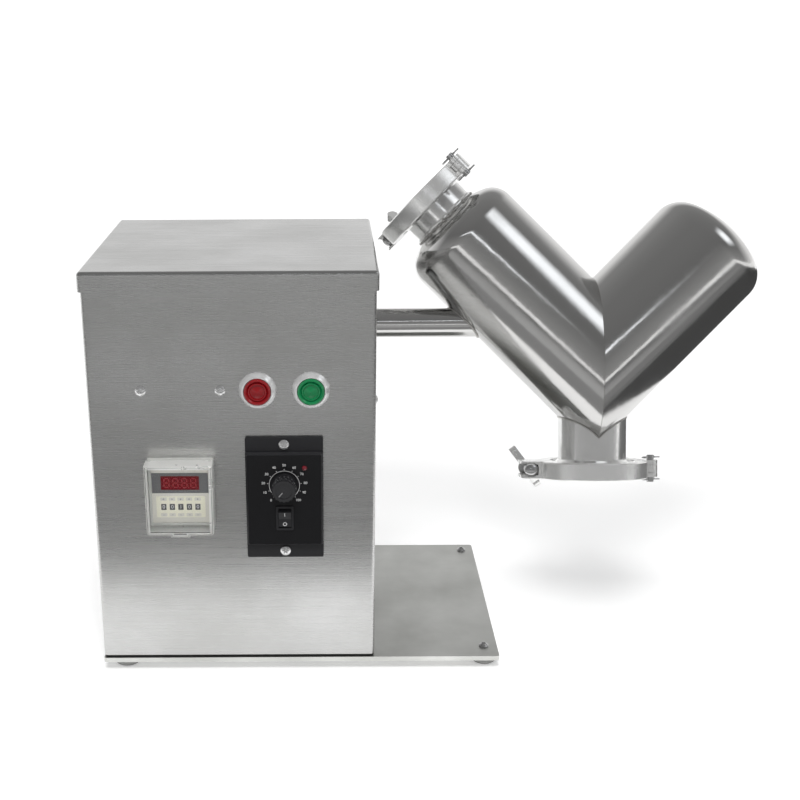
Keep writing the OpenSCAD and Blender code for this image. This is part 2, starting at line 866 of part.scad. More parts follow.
module motor_bracket() {
    plate_h = shaft_z + motor_w / 2 - shelf_z;
    color("gray") difference() {
        layout() translate([gear_x, shaft_y - bracket_w / 2, shelf_z]) {
            cube([bracket_t, bracket_w, plate_h]);
            translate([-bracket_foot, 0, 0]) cube([bracket_foot + bracket_t, bracket_w, bracket_t]);
        }
        shaft_place(gear_x - overlap) cylinder(d = boss_d + 2 * hole_gap, h = bracket_t + 2 * overlap);
        at_gear_screws() translate([0, 0, -bracket_t - overlap])
            cylinder(d = screw_hole_d, h = bracket_t + 2 * overlap);
        at_bracket_bolts() translate([0, 0, -bracket_t - overlap])
            cylinder(d = bolt_hole_d, h = bracket_t + 2 * overlap);
    }
}

module run_capacitor() {
    x = housing_w - capacitor_right - capacitor_l;
    y = housing_d - capacitor_rear - capacitor_w;
    corner = 4;
    tag_t = 1;
    tag_w = 6;
    tag_h = 9;
    color("whitesmoke") layout() translate([x, y, plate_z]) {
        linear_extrude(capacitor_h) round_rect(capacitor_l, capacitor_w, corner);
        for (share = [1, 2]) {
            translate([share * capacitor_l / 3, (capacitor_w - tag_w) / 2, capacitor_h - overlap])
                cube([tag_t, tag_w, tag_h + overlap]);
        }
    }
}

module shaft_bush() {
    collar_d = bush_d + 5;
    collar_t = 3;
    inside = 2;
    color("gray") shaft_place(housing_w) difference() {
        union() {
            cylinder(d = collar_d, h = collar_t);
            translate([0, 0, -sheet - inside]) cylinder(d = bush_d, h = sheet + inside + overlap);
        }
        cylinder(d = shaft_d + 2 * run_gap, h = 4 * (sheet + inside + collar_t), center = true);
    }
}

module cable_gland() {
    hex_l = 7;
    dome_d = gland_d - 3;
    nut_l = 5;
    lead_d = 8;
    color("dimgray") rear_place(gland_x, gland_z) difference() {
        union() {
            cylinder(d = gland_d, h = hex_l, $fn = 6);
            rotate_extrude() {
                square([dome_d / 2, gland_out - 5]);
                square([dome_d / 2 - 5, gland_out]);
                translate([dome_d / 2 - 5, gland_out - 5]) circle(5);
            }
            translate([0, 0, -sheet - nut_l]) cylinder(d = gland_thread_d, h = sheet + nut_l + overlap);
            translate([0, 0, -sheet - nut_l]) cylinder(d = gland_d, h = nut_l, $fn = 6);
        }
        cylinder(d = lead_d, h = 4 * gland_out, center = true);
    }
}

// Frame round the timer on the panel, with the two ears that carry the clear cover
module timer_frame() {
    axis_y = lid_axis_z - timer_z;
    pin_l = hinge_ear_w + move_gap + lid_wall - 0.2;
    color("ivory") panel_place(timer_x, timer_z) {
        linear_extrude(frame_t) difference() {
            round_rect_mid(frame_w, frame_h, 2);
            square(cutout_w, center = true);
        }
        for (side = [0, 1]) mirror([side, 0, 0]) {
            translate([hinge_ear_x, axis_y - hinge_ear_half, 0])
                cube([hinge_ear_w, 2 * hinge_ear_half, lid_axis]);
            translate([hinge_ear_x, axis_y, lid_axis]) rotate([0, 90, 0]) {
                cylinder(r = hinge_ear_half, h = hinge_ear_w);
                cylinder(r = hinge_pin_r, h = pin_l);
            }
        }
    }
}

module timer_case() {
    recess = face_in + face_t;
    color("ivory") panel_place(timer_x, timer_z) {
        translate([0, 0, frame_t]) difference() {
            linear_extrude(bezel_t) round_rect_mid(bezel_w, bezel_w, 2.5);
            translate([0, 0, bezel_t - recess]) linear_extrude(bezel_t) square(face_w + 0.2, center = true);
        }
        translate([0, 0, -timer_body_l]) linear_extrude(timer_body_l + frame_t + overlap)
            square(timer_body_w, center = true);
    }
}

module timer_face() {
    color("beige") panel_place(timer_x, timer_z) translate([0, 0, frame_t + bezel_t - face_in - face_t])
        linear_extrude(face_t) difference() {
            square(face_w, center = true);
            translate([0, display_up]) square([display_w, display_h], center = true);
        }
}

module timer_display() {
    color("darkred") panel_place(timer_x, timer_z)
        translate([0, display_up, frame_t + bezel_t - face_in - face_t])
        linear_extrude(face_t) square([display_w - 0.1, display_h - 0.1], center = true);
}

module timer_keys() {
    color("white") for (i = [0 : key_count - 1], y = key_rows) {
        panel_place(timer_x, timer_z)
            translate([(i - (key_count - 1) / 2) * key_pitch, y, frame_t + bezel_t - face_in])
                linear_extrude(key_out) round_rect_mid(key_w, key_h, 0.6);
    }
}

// Clear box over the timer, open at the back, hung at its top edge
module timer_cover() {
    axis_y = lid_axis_z - timer_z;
    low_y = lid_bottom - timer_z;
    high_y = axis_y + lid_hinge_r;
    lid_h = high_y - low_y;
    corner = lid_hinge_r + overlap;
    color("lightcyan", 0.4) panel_place(timer_x, timer_z) difference() {
        union() {
            translate([-frame_w / 2, low_y, lid_back]) cube([frame_w, lid_h, lid_d]);
            translate([-lip_w / 2, low_y - lip_h, lid_front - 6]) cube([lip_w, lip_h + overlap, 6]);
        }
        translate([lid_wall - frame_w / 2, low_y + lid_wall, lid_back - overlap])
            cube([frame_w - 2 * lid_wall, lid_h - 2 * lid_wall, lid_d - lid_wall + overlap]);
        difference() {
            translate([-frame_w / 2 - overlap, axis_y, lid_back - overlap])
                cube([frame_w + 2 * overlap, corner, lid_axis - lid_back + overlap]);
            translate([0, axis_y, lid_axis]) rotate([0, 90, 0])
                cylinder(r = lid_hinge_r, h = 2 * frame_w, center = true);
        }
        translate([lid_wall - frame_w / 2, axis_y, lid_back - overlap])
            cube([frame_w - 2 * lid_wall, corner, lid_axis - lid_back + overlap]);
        for (side = [0, 1]) mirror([side, 0, 0]) {
            translate([hinge_ear_x - move_gap, axis_y, lid_back - overlap])
                cube([hinge_ear_w + 2 * move_gap, corner, lid_axis - lid_back + overlap + ear_notch]);
        }
        translate([0, axis_y, lid_axis]) rotate([0, 90, 0])
            cylinder(r = hinge_pin_r + run_gap, h = 2 * frame_w, center = true);
    }
}

// Block whose front edges are all chamfered at 45 degrees
module chamfered_block(w, h, t, c) {
    intersection() {
        rotate([90, 0, 0]) linear_extrude(h, center = true) polygon([
            [-w / 2, 0], [w / 2, 0], [w / 2, t - c], [w / 2 - c, t], [c - w / 2, t], [-w / 2, t - c]
        ]);
        rotate([90, 0, 90]) linear_extrude(w, center = true) polygon([
            [-h / 2, 0], [h / 2, 0], [h / 2, t - c], [h / 2 - c, t], [c - h / 2, t], [-h / 2, t - c]
        ]);
    }
}

module speed_control() {
    lamp_y = knob_rise + lamp_rise;
    socket_w = rocker_w - 1;
    socket_h = rocker_h - 1;
    socket_deep = 20;
    color("black") difference() {
        panel_place(control_x, control_z) {
            linear_extrude(control_flange_t) round_rect_mid(control_w, control_h, 1.5);
            chamfered_block(control_w, control_mid_h, control_front, control_chamfer);
            translate([0, 0, -control_body_l]) linear_extrude(control_body_l + overlap)
                round_rect_mid(control_body_w, control_body_h, 3);
        }
        at_control_screws() sheet_hole(screw_hole_d);
        panel_place(control_x, control_z) {
            translate([0, knob_rise, control_front - pot_l]) cylinder(d = pot_d + 2 * run_gap, h = 2 * pot_l);
            translate([lamp_right, lamp_y, control_front - 3]) cylinder(d = lamp_d + 2 * hole_gap, h = 6);
            translate([-socket_w / 2, -rocker_drop - socket_h / 2, control_front - socket_deep])
                cube([socket_w, socket_h, 2 * socket_deep]);
        }
    }
}

module control_screws() {
    color("silver") at_control_screws() pan_screw(control_flange_t + sheet, true);
}

module speed_knob() {
    flute_r = 1.1;
    skirt_h = 2.5;
    cap_in = 2.2;
    color("black") panel_place(control_x, knob_z) translate([0, 0, control_front + move_gap]) {
        difference() {
            union() {
                cylinder(d = knob_d, h = knob_h - 1);
                cylinder(d = knob_d - 2, h = knob_h);
            }
            for (i = [0 : knob_flutes - 1]) rotate(i * 360 / knob_flutes) {
                translate([knob_d / 2 + 0.3, 0, skirt_h]) cylinder(r = flute_r, h = knob_h, $fn = 24);
            }
            translate([0, 0, knob_h - 0.6]) cylinder(d = knob_d - 2 * cap_in - 2, h = 2);
        }
        translate([0, 0, overlap - pot_l]) cylinder(d = pot_d, h = pot_l);
    }
}

module power_lamp() {
    color("red") panel_place(control_x + lamp_right, knob_z + lamp_rise) {
        translate([0, 0, control_front - 3]) cylinder(d = lamp_d, h = 3.4);
        intersection() {
            translate([0, 0, control_front]) sphere(d = lamp_d);
            translate([0, 0, control_front]) cylinder(d = lamp_d, h = lamp_d);
        }
    }
}

module rocker_place() {
    panel_place(control_x, rocker_z) children();
}

module switch_frame() {
    body_w = rocker_w - 1.4;
    body_h = rocker_h - 1.4;
    body_l = rocker_pocket + control_front - rocker_axis + 2;
    color("black") rocker_place() difference() {
        union() {
            translate([0, 0, control_front]) linear_extrude(rocker_frame_out)
                round_rect_mid(rocker_w, rocker_h, 1.2);
            translate([-body_w / 2, -body_h / 2, control_front - body_l])
                cube([body_w, body_h, body_l + 0.5]);
        }
        translate([-rocker_inner_w / 2, -rocker_inner_h / 2, rocker_axis - rocker_pocket])
            cube([rocker_inner_w, rocker_inner_h, 3 * rocker_pocket]);
        translate([0, 0, rocker_axis]) rotate([0, 90, 0])
            cylinder(r = hinge_pin_r + run_gap, h = body_w + overlap, center = true);
    }
}

module power_rocker() {
    dish = tan(rocker_turn);
    far = 2 * rocker_r;
    mid = rocker_r - 4.4;
    color("black") rocker_place() translate([0, 0, rocker_axis]) rotate([rocker_turn, 0, 0]) {
        rotate([90, 0, 90]) linear_extrude(rocker_inner_w - 2 * move_gap, center = true) intersection() {
            circle(rocker_r);
            polygon([[-far, -far], [far, -far], [far, mid + far * dish], [0, mid], [-far, mid + far * dish]]);
        }
        rotate([0, 90, 0]) cylinder(r = hinge_pin_r, h = rocker_w - 1.6, center = true);
    }
}

// Chrome ring on the panel with the threaded body behind it
module button_bezel(x) {
    edge = 2.5;
    out_r = button_bezel_d / 2;
    color("silver") panel_place(x, button_z) difference() {
        union() {
            rotate_extrude() {
                square([out_r, button_bezel_h - edge]);
                square([out_r - edge, button_bezel_h]);
                translate([out_r - edge, button_bezel_h - edge]) circle(edge);
            }
            translate([0, 0, -button_body_l]) cylinder(d = button_body_d, h = button_body_l + overlap);
        }
        translate([0, 0, -lens_deep]) cylinder(d = lens_bore_d, h = lens_deep + 2 * button_bezel_h);
        translate([0, 0, -button_body_l - overlap])
            cylinder(d = guide_d + 2 * move_gap, h = button_body_l + 2 * overlap);
    }
}

module stop_bezel() {
    button_bezel(stop_x);
}

module start_bezel() {
    button_bezel(start_x);
}

module button_nuts() {
    color("dimgray") for (x = [stop_x, start_x]) panel_place(x, button_z) {
        translate([0, 0, -sheet - button_nut_t]) difference() {
            cylinder(d = button_nut_d, h = button_nut_t, $fn = 6);
            cylinder(d = button_body_d + 2 * hole_gap, h = 3 * button_nut_t, center = true);
        }
    }
}

module button_contacts() {
    color("dimgray") for (x = [stop_x, start_x]) panel_place(x, button_z) {
        translate([0, 0, -button_back]) linear_extrude(contact_l)
            round_rect_mid(contact_w, contact_w, 2);
    }
}

// Lens with a raised rim, a ring step and a shallow cone in its middle
module button_lens(x) {
    front = button_bezel_h + lens_out;
    rim = 2.6;
    step = 1.2;
    cone_r = lens_d / 2 - rim - 2.4;
    panel_place(x, button_z) {
        difference() {
            translate([0, 0, -lens_seat]) cylinder(d = lens_d, h = front + lens_seat);
            translate([0, 0, front - step]) cylinder(r = lens_d / 2 - rim, h = 2 * step);
        }
        translate([0, 0, front - step - 0.2]) cylinder(r1 = cone_r, r2 = cone_r / 4, h = step + 0.2);
        translate([0, 0, -stem_end]) cylinder(d = guide_d, h = stem_end);
    }
}

module stop_button() {
    color("red") button_lens(stop_x);
}

module start_button() {
    color("green") button_lens(start_x);
}

module main_shaft() {
    start = shaft_start - vessel_x;
    step = shaft_step_x - vessel_x;
    stop = -meet_drop * tan(leg_angle);
    bore_l = gear_x + output_l + overlap - shaft_start;
    color("silver") vessel_place() difference() {
        rotate([0, 90, 0]) {
            translate([0, 0, start]) cylinder(d = seat_d, h = step - start + overlap);
            translate([0, 0, step]) cylinder(d = shaft_d, h = stop - step);
        }
        translate([start - overlap, 0, 0]) rotate([0, 90, 0])
            cylinder(d = output_d + 2 * weld_gap, h = bore_l + overlap);
        leg_place(-1) cylinder(r = leg_r + weld_gap, h = 2 * left_l, center = true);
    }
}

module output_shaft() {
    color("gray") shaft_place(gear_x - output_hold) cylinder(d = output_d, h = output_hold + output_l);
}

module bearing_rings() {
    ring_w = 30;
    outer_w = 20;
    collar_d = seat_d + 9;
    color("silver") for (x = bearing_xs) shaft_place(x) difference() {
        union() {
            cylinder(d = insert_d, h = outer_w, center = true);
            cylinder(d = collar_d, h = ring_w, center = true);
        }
        cylinder(d = seat_d + 2 * weld_gap, h = 2 * ring_w, center = true);
    }
}

// Solid mitred bar of a leg, cut off at the middle of the V
module leg_bar(side, r, bar_l) {
    far = 2 * (bar_l + leg_d);
    intersection() {
        leg_place(side) translate([0, 0, -leg_d]) cylinder(r = r, h = bar_l + leg_d);
        translate([side < 0 ? -far : 0, -far / 2, -far / 2]) cube(far);
    }
}

// Mitred tube, open at the middle of the V and at its end, with the outlet's hole in its bottom
module leg(side, tube_l) {
    color("silver") vessel_place() difference() {
        leg_bar(side, leg_r, tube_l);
        leg_place(side) translate([0, 0, -2 * leg_d]) cylinder(r = leg_r - wall, h = tube_l + 4 * leg_d);
        translate([0, 0, -outlet_drop]) cylinder(r = neck_in_r, h = outlet_drop - meet_drop);
    }
}

module left_leg() {
    leg(-1, left_l - dish_h);
}

module right_leg() {
    leg(1, right_l - dish_h);
}

// Section of a dished end: crown arc and knuckle arc, drawn inwards by a wall
module dish_2d(inset) {
    intersection() {
        square([leg_r, crown_r]);
        union() {
            translate([knuckle_in, 0]) circle(knuckle_r - inset);
            intersection() {
                translate([0, -crown_drop]) circle(crown_r - inset);
                polygon([[0, -crown_drop], [3 * knuckle_in, 2 * crown_drop], [0, 2 * crown_drop]]);
            }
        }
    }
}

module dished_end() {
    rotate_extrude() difference() {
        dish_2d(0);
        dish_2d(wall);
    }
}

module left_end() {
    color("silver") vessel_place() leg_place(-1) translate([0, 0, left_l - dish_h]) difference() {
        dished_end();
        cylinder(r = neck_in_r, h = 2 * dish_h);
    }
}

module right_end() {
    color("silver") vessel_place() leg_place(1) translate([0, 0, right_l - dish_h]) dished_end();
}

// Neck with a clamp flange: its sealing face at Z = -face_z, its tube running back to tube_z
module ferrule(tube_z) {
    fillet = 2;
    back_z = -face_z - rim_t - (flange_r - neck_r - fillet) * tan(bevel);
    rotate_extrude() polygon([
        [neck_in_r, -face_z], [flange_r, -face_z], [flange_r, -face_z - rim_t],
        [neck_r + fillet, back_z], [neck_r, back_z - fillet], [neck_r, tube_z], [neck_in_r, tube_z]
    ]);
}

module inlet_ferrule() {
    crown_z = left_l - inlet_l;
    bead_r = 1.6;
    color("silver") inlet_place() difference() {
        union() {
            ferrule(crown_z + neck_base - overlap);
            translate([0, 0, crown_z + neck_base + bead_r]) rotate_extrude()
                translate([neck_r, 0]) circle(bead_r);
        }
        translate([0, 0, crown_z - crown_r]) sphere(crown_r + weld_gap);
        translate([0, 0, crown_z - crown_r]) cylinder(r = neck_in_r, h = 2 * crown_r);
    }
}

module outlet_ferrule() {
    color("silver") difference() {
        outlet_place() mirror([0, 0, 1]) ferrule(meet_drop + leg_r / 2 - outlet_drop);
        vessel_place() for (side = [-1, 1]) leg_bar(side, leg_r + weld_gap, leg_d);
    }
}

module gasket() {
    color("white") rotate_extrude() translate([neck_in_r, -face_z])
        square([flange_r - 0.5 - neck_in_r, gasket_t]);
}

module inlet_gasket() {
    inlet_place() gasket();
}

module outlet_gasket() {
    outlet_place() gasket();
}

// Blind cap: a flat disc with the same sloping rim as a ferrule
module blind_cap() {
    top_r = lip_r - 1.5;
    top_z = face_z + rim_t + (flange_r - top_r) * tan(bevel);
    color("silver") rotate_extrude() polygon([
        [0, face_z], [flange_r, face_z], [flange_r, face_z + rim_t], [top_r, top_z], [0, top_z]
    ]);
}

module inlet_cap() {
    inlet_place() blind_cap();
}

module outlet_cap() {
    outlet_place() mirror([0, 0, 1]) blind_cap();
}

// Section of a clamp ring with the sloping groove that draws the flanges together
module ring_2d() {
    edge = 0.8;
    rim_half = face_z + rim_t + groove_gap;
    lip_half = rim_half + (flange_r + move_gap - lip_r + overlap) * tan(bevel);
    difference() {
        polygon([
            [lip_r, -half_w], [ring_r - edge, -half_w], [ring_r, edge - half_w],
            [ring_r, half_w - edge], [ring_r - edge, half_w], [lip_r, half_w]
        ]);
        polygon([
            [lip_r - overlap, -lip_half], [flange_r + move_gap, -rim_half],
            [flange_r + move_gap, rim_half], [lip_r - overlap, lip_half]
        ]);
    }
}

// One half of a clamp ring; side is -1 front, 1 rear
module half_ring(side) {
    far = 4 * ring_r;
    intersection() {
        rotate_extrude() ring_2d();
        translate([-far / 2, side < 0 ? -far - split_gap / 2 : split_gap / 2, -far / 2]) cube(far);
    }
}

// Closing lug seen along the neck: a block that runs into the ring
module lug_2d() {
    near = ring_r - 4;
    corner = 3;
    polygon([
        [-near, 0], [-lug_out, 0], [-lug_out, lug_t - corner], [corner - lug_out, lug_t],
        [-near - 3, lug_t], [-near + 6, lug_t + 8], [-near + 6, lug_t]
    ]);
}

module closing_lug(side) {
    mirror([0, side < 0 ? 1 : 0, 0]) translate([0, split_gap / 2, -half_w])
        linear_extrude(clamp_w) difference() {
            lug_2d();
            translate([0, -split_gap / 2]) circle(flange_r + move_gap + 1.5);
        }
}

// Slot for the closing bolt, open at the lug's outer end
module bolt_slot(side) {
    mirror([0, side < 0 ? 1 : 0, 0]) translate([-lug_out - overlap, -overlap, -slot_w / 2])
        cube([lug_out + overlap - slot_in, 2 * lug_t, slot_w]);
}

module clamp_front() {
    ear_z = tongue_half + move_gap;
    ear_h = half_w - ear_z;
    color("lightgray") difference() {
        union() {
            half_ring(-1);
            closing_lug(-1);
            for (side = [0, 1]) mirror([0, 0, side]) translate([0, 0, ear_z]) {
                translate([hinge_x, 0, 0]) cylinder(r = ear_r, h = ear_h);
                translate([ring_r - 5, -ear_r, 0]) cube([hinge_x - ring_r + 5, ear_r, ear_h]);
            }
        }
        translate([hinge_x, 0, 0]) cylinder(d = pin_d + 2 * run_gap, h = 2 * clamp_w, center = true);
        translate([hinge_x, 0, 0]) cylinder(r = ear_r + move_gap, h = 2 * ear_z, center = true);
        bolt_slot(-1);
        translate([-bolt_x, -bolt_start, 0]) rotate([90, 0, 0]) {
            rotate(22.5) cylinder(d = pocket_d / cos(22.5), h = 2 * pocket_t, $fn = 8);
            translate([-lug_out, -pocket_d / 2, 0]) cube([lug_out, pocket_d, 2 * pocket_t]);
        }
    }
}

module clamp_rear() {
    color("lightgray") difference() {
        union() {
            half_ring(1);
            closing_lug(1);
            translate([hinge_x, 0, -tongue_half]) cylinder(r = ear_r, h = 2 * tongue_half);
            translate([ring_r - 5, 0, -tongue_half]) cube([hinge_x - ring_r + 5, ear_r, 2 * tongue_half]);
        }
        translate([hinge_x, 0, 0]) cylinder(d = pin_d + 2 * run_gap, h = 2 * clamp_w, center = true);
        for (side = [0, 1]) mirror([0, 0, side]) {
            translate([hinge_x, 0, tongue_half]) cylinder(r = ear_r + move_gap, h = clamp_w);
        }
        bolt_slot(1);
    }
}

module inlet_clamp_front() {
    inlet_clamp_place() clamp_front();
}

module outlet_clamp_front() {
    outlet_place() clamp_front();
}

module inlet_clamp_rear() {
    inlet_clamp_place() clamp_rear();
}

module outlet_clamp_rear() {
    outlet_place() clamp_rear();
}

// Split pin along X: a wire eye at one end, two bent tails at the other
module split_pin(cross_l) {
    eye_r = 2.2;
    eye_wire_r = 0.75;
    tail_l = 6;
    rotate([0, 90, 0]) cylinder(r = wire_r, h = 2 * cross_l, center = true);
    translate([-cross_l - eye_r + eye_wire_r / 2, 0, 0]) rotate_extrude()
        translate([eye_r, 0]) circle(eye_wire_r);
    for (bend = [-1, 1]) translate([cross_l - wire_r, 0, bend * 0.1]) rotate([0, 0, bend * 28])
        rotate([0, 90, 0]) cylinder(r = 0.65 + bend * 0.05, h = tail_l);
}

// Hinge pin with a split pin through each end
module hinge_pin() {
    pin_l = clamp_w + 2 * cotter_out + 4;
    color("silver") translate([hinge_x, 0, 0]) {
        cylinder(d = pin_d, h = pin_l, center = true);
        for (side = [-1, 1]) translate([0, 0, side * (half_w + cotter_out)]) rotate(35)
            split_pin(pin_d / 2 + 1.2);
    }
}

module inlet_hinge_pin() {
    inlet_clamp_place() hinge_pin();
}

module outlet_hinge_pin() {
    outlet_place() hinge_pin();
}

// Closing bolt with a domed round head
module clamp_bolt() {
    dome_r = head_r * 1.5;
    color("silver") translate([-bolt_x, 0, 0]) rotate([90, 0, 0]) {
        translate([0, 0, bolt_start]) intersection() {
            cylinder(r = head_r, h = head_t);
            translate([0, 0, head_t - dome_r]) sphere(dome_r);
        }
        translate([0, 0, -bolt_end]) cylinder(d = clamp_bolt_d, h = bolt_end + bolt_start + overlap);
    }
}

module inlet_clamp_bolt() {
    inlet_clamp_place() clamp_bolt();
}

module outlet_clamp_bolt() {
    outlet_place() clamp_bolt();
}

// Wing nut behind the rear lug, its wings swept back from the hub
module wing_nut() {
    wing_t = 6;
    wing_turn = 55;
    tip_r = 4.5;
    tip_x = wing_r - tip_r;
    tip_z = nut_h + tip_r;
    collar_h = nut_h / 2;
    collar_in = 1.2;
    root_x = nut_r - 2 * collar_in;
    color("silver") translate([-bolt_x, split_gap / 2 + lug_t + nut_gap, 0])
    rotate([-90, 0, 0]) difference() {
        union() {
            cylinder(r = nut_r, h = collar_h);
            cylinder(r = nut_r - collar_in, h = nut_h);
            for (side = [0, 180]) rotate([90, 0, wing_turn + side]) linear_extrude(wing_t, center = true) {
                polygon([
                    [0, 1], [root_x, 1], [tip_x + 0.8 * tip_r, tip_z - 0.5 * tip_r],
                    [tip_x - 0.8 * tip_r, tip_z + 0.3 * tip_r], [root_x, nut_h - 1], [0, nut_h - 1]
                ]);
                translate([tip_x, tip_z]) circle(tip_r);
            }
        }
        cylinder(d = clamp_bolt_d + 2 * run_gap, h = 8 * nut_h, center = true);
    }
}

module inlet_wing_nut() {
    inlet_clamp_place() wing_nut();
}

module outlet_wing_nut() {
    outlet_place() wing_nut();
}

base_plate();
base_seal();
feet();
foot_screws();
housing_wrap();
rear_panel();
top_cover();
housing_screws();
bearing_shelf();
bearing_stand();
bearing_housing_left();
bearing_housing_right();
drive_bolts();
motor_case();
gearhead();
motor_bracket();
run_capacitor();
shaft_bush();
cable_gland();
timer_frame();
timer_case();
timer_face();
timer_display();
timer_keys();
timer_cover();
speed_control();
control_screws();
speed_knob();
power_lamp();
switch_frame();
power_rocker();
stop_bezel();
start_bezel();
button_nuts();
button_contacts();
stop_button();
start_button();
main_shaft();
output_shaft();
bearing_rings();
left_leg();
right_leg();
left_end();
right_end();
inlet_ferrule();
outlet_ferrule();
inlet_gasket();
outlet_gasket();
inlet_cap();
outlet_cap();
inlet_clamp_front();
outlet_clamp_front();
inlet_clamp_rear();
outlet_clamp_rear();
inlet_hinge_pin();
outlet_hinge_pin();
inlet_clamp_bolt();
outlet_clamp_bolt();
inlet_wing_nut();
outlet_wing_nut();
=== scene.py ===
import json
import math

import bmesh
import bpy
from mathutils import Matrix, Vector


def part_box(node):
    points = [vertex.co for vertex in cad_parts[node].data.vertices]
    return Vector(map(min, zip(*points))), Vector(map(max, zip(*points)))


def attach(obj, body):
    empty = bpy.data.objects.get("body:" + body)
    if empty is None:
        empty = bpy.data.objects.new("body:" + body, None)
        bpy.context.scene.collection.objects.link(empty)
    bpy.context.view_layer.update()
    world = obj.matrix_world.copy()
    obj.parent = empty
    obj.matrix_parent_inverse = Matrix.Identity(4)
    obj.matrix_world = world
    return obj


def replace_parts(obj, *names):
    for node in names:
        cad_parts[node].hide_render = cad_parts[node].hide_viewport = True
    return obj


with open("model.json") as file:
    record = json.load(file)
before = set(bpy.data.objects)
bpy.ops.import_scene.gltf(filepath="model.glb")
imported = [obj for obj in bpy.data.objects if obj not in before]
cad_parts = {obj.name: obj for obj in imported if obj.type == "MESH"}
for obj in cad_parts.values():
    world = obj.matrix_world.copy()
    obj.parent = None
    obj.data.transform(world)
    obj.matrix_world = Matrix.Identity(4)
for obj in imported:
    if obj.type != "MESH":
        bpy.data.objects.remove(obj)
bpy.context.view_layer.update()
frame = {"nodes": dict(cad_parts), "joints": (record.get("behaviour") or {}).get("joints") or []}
nodes = frame["nodes"]
joints = {joint["name"]: joint for joint in frame["joints"]}
mm = 0.001
print("frame loaded with", len(nodes), "nodes")


# camera
viewpoint = {
    "place": (-0.08395, -1.0117, 0.5367),  # metres
    "yaw": -0.08,  # degrees to the right of +Y
    "pitch": 18.6,  # degrees down
    "roll": -0.317,
    "lens": 56.6,  # mm
    "sensor": 36,  # mm
    "shift": 0.0926,  # the object stands left of the picture's middle
    "reach": 100,  # metres
}


def addCamera():
    yaw, pitch, roll = (math.radians(viewpoint[k]) for k in ("yaw", "pitch", "roll"))
    ahead = math.cos(pitch)
    forward = Vector((math.sin(yaw) * ahead, math.cos(yaw) * ahead, -math.sin(pitch)))
    level = Vector((math.cos(yaw), -math.sin(yaw), 0))
    upright = level.cross(forward)
    right = math.cos(roll) * level + math.sin(roll) * upright
    top = math.cos(roll) * upright - math.sin(roll) * level
    data = bpy.data.cameras.new("viewCamera")
    data.lens = viewpoint["lens"]
    data.sensor_width = viewpoint["sensor"]
    data.clip_end = viewpoint["reach"]
    data.shift_x = viewpoint["shift"]
    camera = bpy.data.objects.new("viewCamera", data)
    turn = Matrix((right, top, -forward)).transposed().to_4x4()
    camera.matrix_world = Matrix.Translation(viewpoint["place"]) @ turn
    bpy.context.scene.collection.objects.link(camera)
    bpy.context.scene.camera = camera


addCamera()
print("camera placed")


# small helpers for shader trees
def put(tree, kind, **settings):
    node = tree.nodes.new(kind)
    for name, value in settings.items():
        setattr(node, name, value)
    return node


def wire(tree, source, socket):
    if isinstance(source, bpy.types.NodeSocket):
        tree.links.new(source, socket)
    else:
        socket.default_value = source


def calc(tree, operation, first, second=0.0):
    node = put(tree, "ShaderNodeMath", operation=operation)
    wire(tree, first, node.inputs[0])
    wire(tree, second, node.inputs[1])
    return node.outputs[0]


def fitRange(tree, value, low, high, toLow, toHigh):
    node = put(tree, "ShaderNodeMapRange")
    for socket, given in zip(node.inputs, (value, low, high, toLow, toHigh)):
        wire(tree, given, socket)
    return node.outputs[0]


def newMaterial(name, sockets):
    material = bpy.data.materials.new(name)
    material.use_nodes = True
    tree = material.node_tree
    shader = tree.nodes["Principled BSDF"]
    for socket, value in sockets.items():
        shader.inputs[socket].default_value = value
    return material, tree, shader


def newGroup(name, inputs, outputs):
    tree = bpy.data.node_groups.new(name, "ShaderNodeTree")
    for label, value in inputs.items():
        socket = tree.interface.new_socket(label, in_out="INPUT", socket_type="NodeSocketFloat")
        socket.default_value = value
    for label in outputs:
        tree.interface.new_socket(label, in_out="OUTPUT", socket_type="NodeSocketFloat")
    return tree, put(tree, "NodeGroupInput").outputs, put(tree, "NodeGroupOutput").inputs


def useGroup(tree, group, values):
    node = put(tree, "ShaderNodeGroup", node_tree=group)
    for label, value in values.items():
        wire(tree, value, node.inputs[label])
    return node.outputs


def noise(tree, place, scale, detail, roughness):
    node = put(tree, "ShaderNodeTexNoise")
    wire(tree, place, node.inputs["Vector"])
    wire(tree, scale, node.inputs["Scale"])
    wire(tree, detail, node.inputs["Detail"])
    wire(tree, roughness, node.inputs["Roughness"])
    return node.outputs["Fac"]


def bump(tree, shader, height, distance):
    node = put(tree, "ShaderNodeBump")
    wire(tree, 1.0, node.inputs["Strength"])
    wire(tree, distance, node.inputs["Distance"])
    wire(tree, height, node.inputs["Height"])
    tree.links.new(node.outputs["Normal"], shader.inputs["Normal"])


def tint(tree, shader, mask, dark, light):
    node = put(tree, "ShaderNodeMix", data_type="RGBA")
    wire(tree, mask, node.inputs["Factor"])
    node.inputs["A"].default_value = (*dark, 1)
    node.inputs["B"].default_value = (*light, 1)
    tree.links.new(node.outputs["Result"], shader.inputs["Base Color"])


# shared effects
effects = {
    "brush": {"Fine": 2200.0, "Along": 14.0},  # noise per metre, across and along the brushing
    "flatAbove": 0.6,  # a face whose normal rises more than this counts as flat
    "noiseSpan": (0.3, 0.7),  # where most of a noise lies
    "roughSpread": 0.05,  # either way of a finish's roughness
    "patchShade": 0.9,  # of the colour, in dark patches
    "stainRough": -0.04,  # change of roughness where brushed steel is light
    "castRough": (0.06, -0.04),  # change of roughness in dark and in light patches
    "smearRough": 2.2,  # times the roughness where polish is smeared
    "cloudRough": 3,  # times the roughness where clear plastic is clouded
}


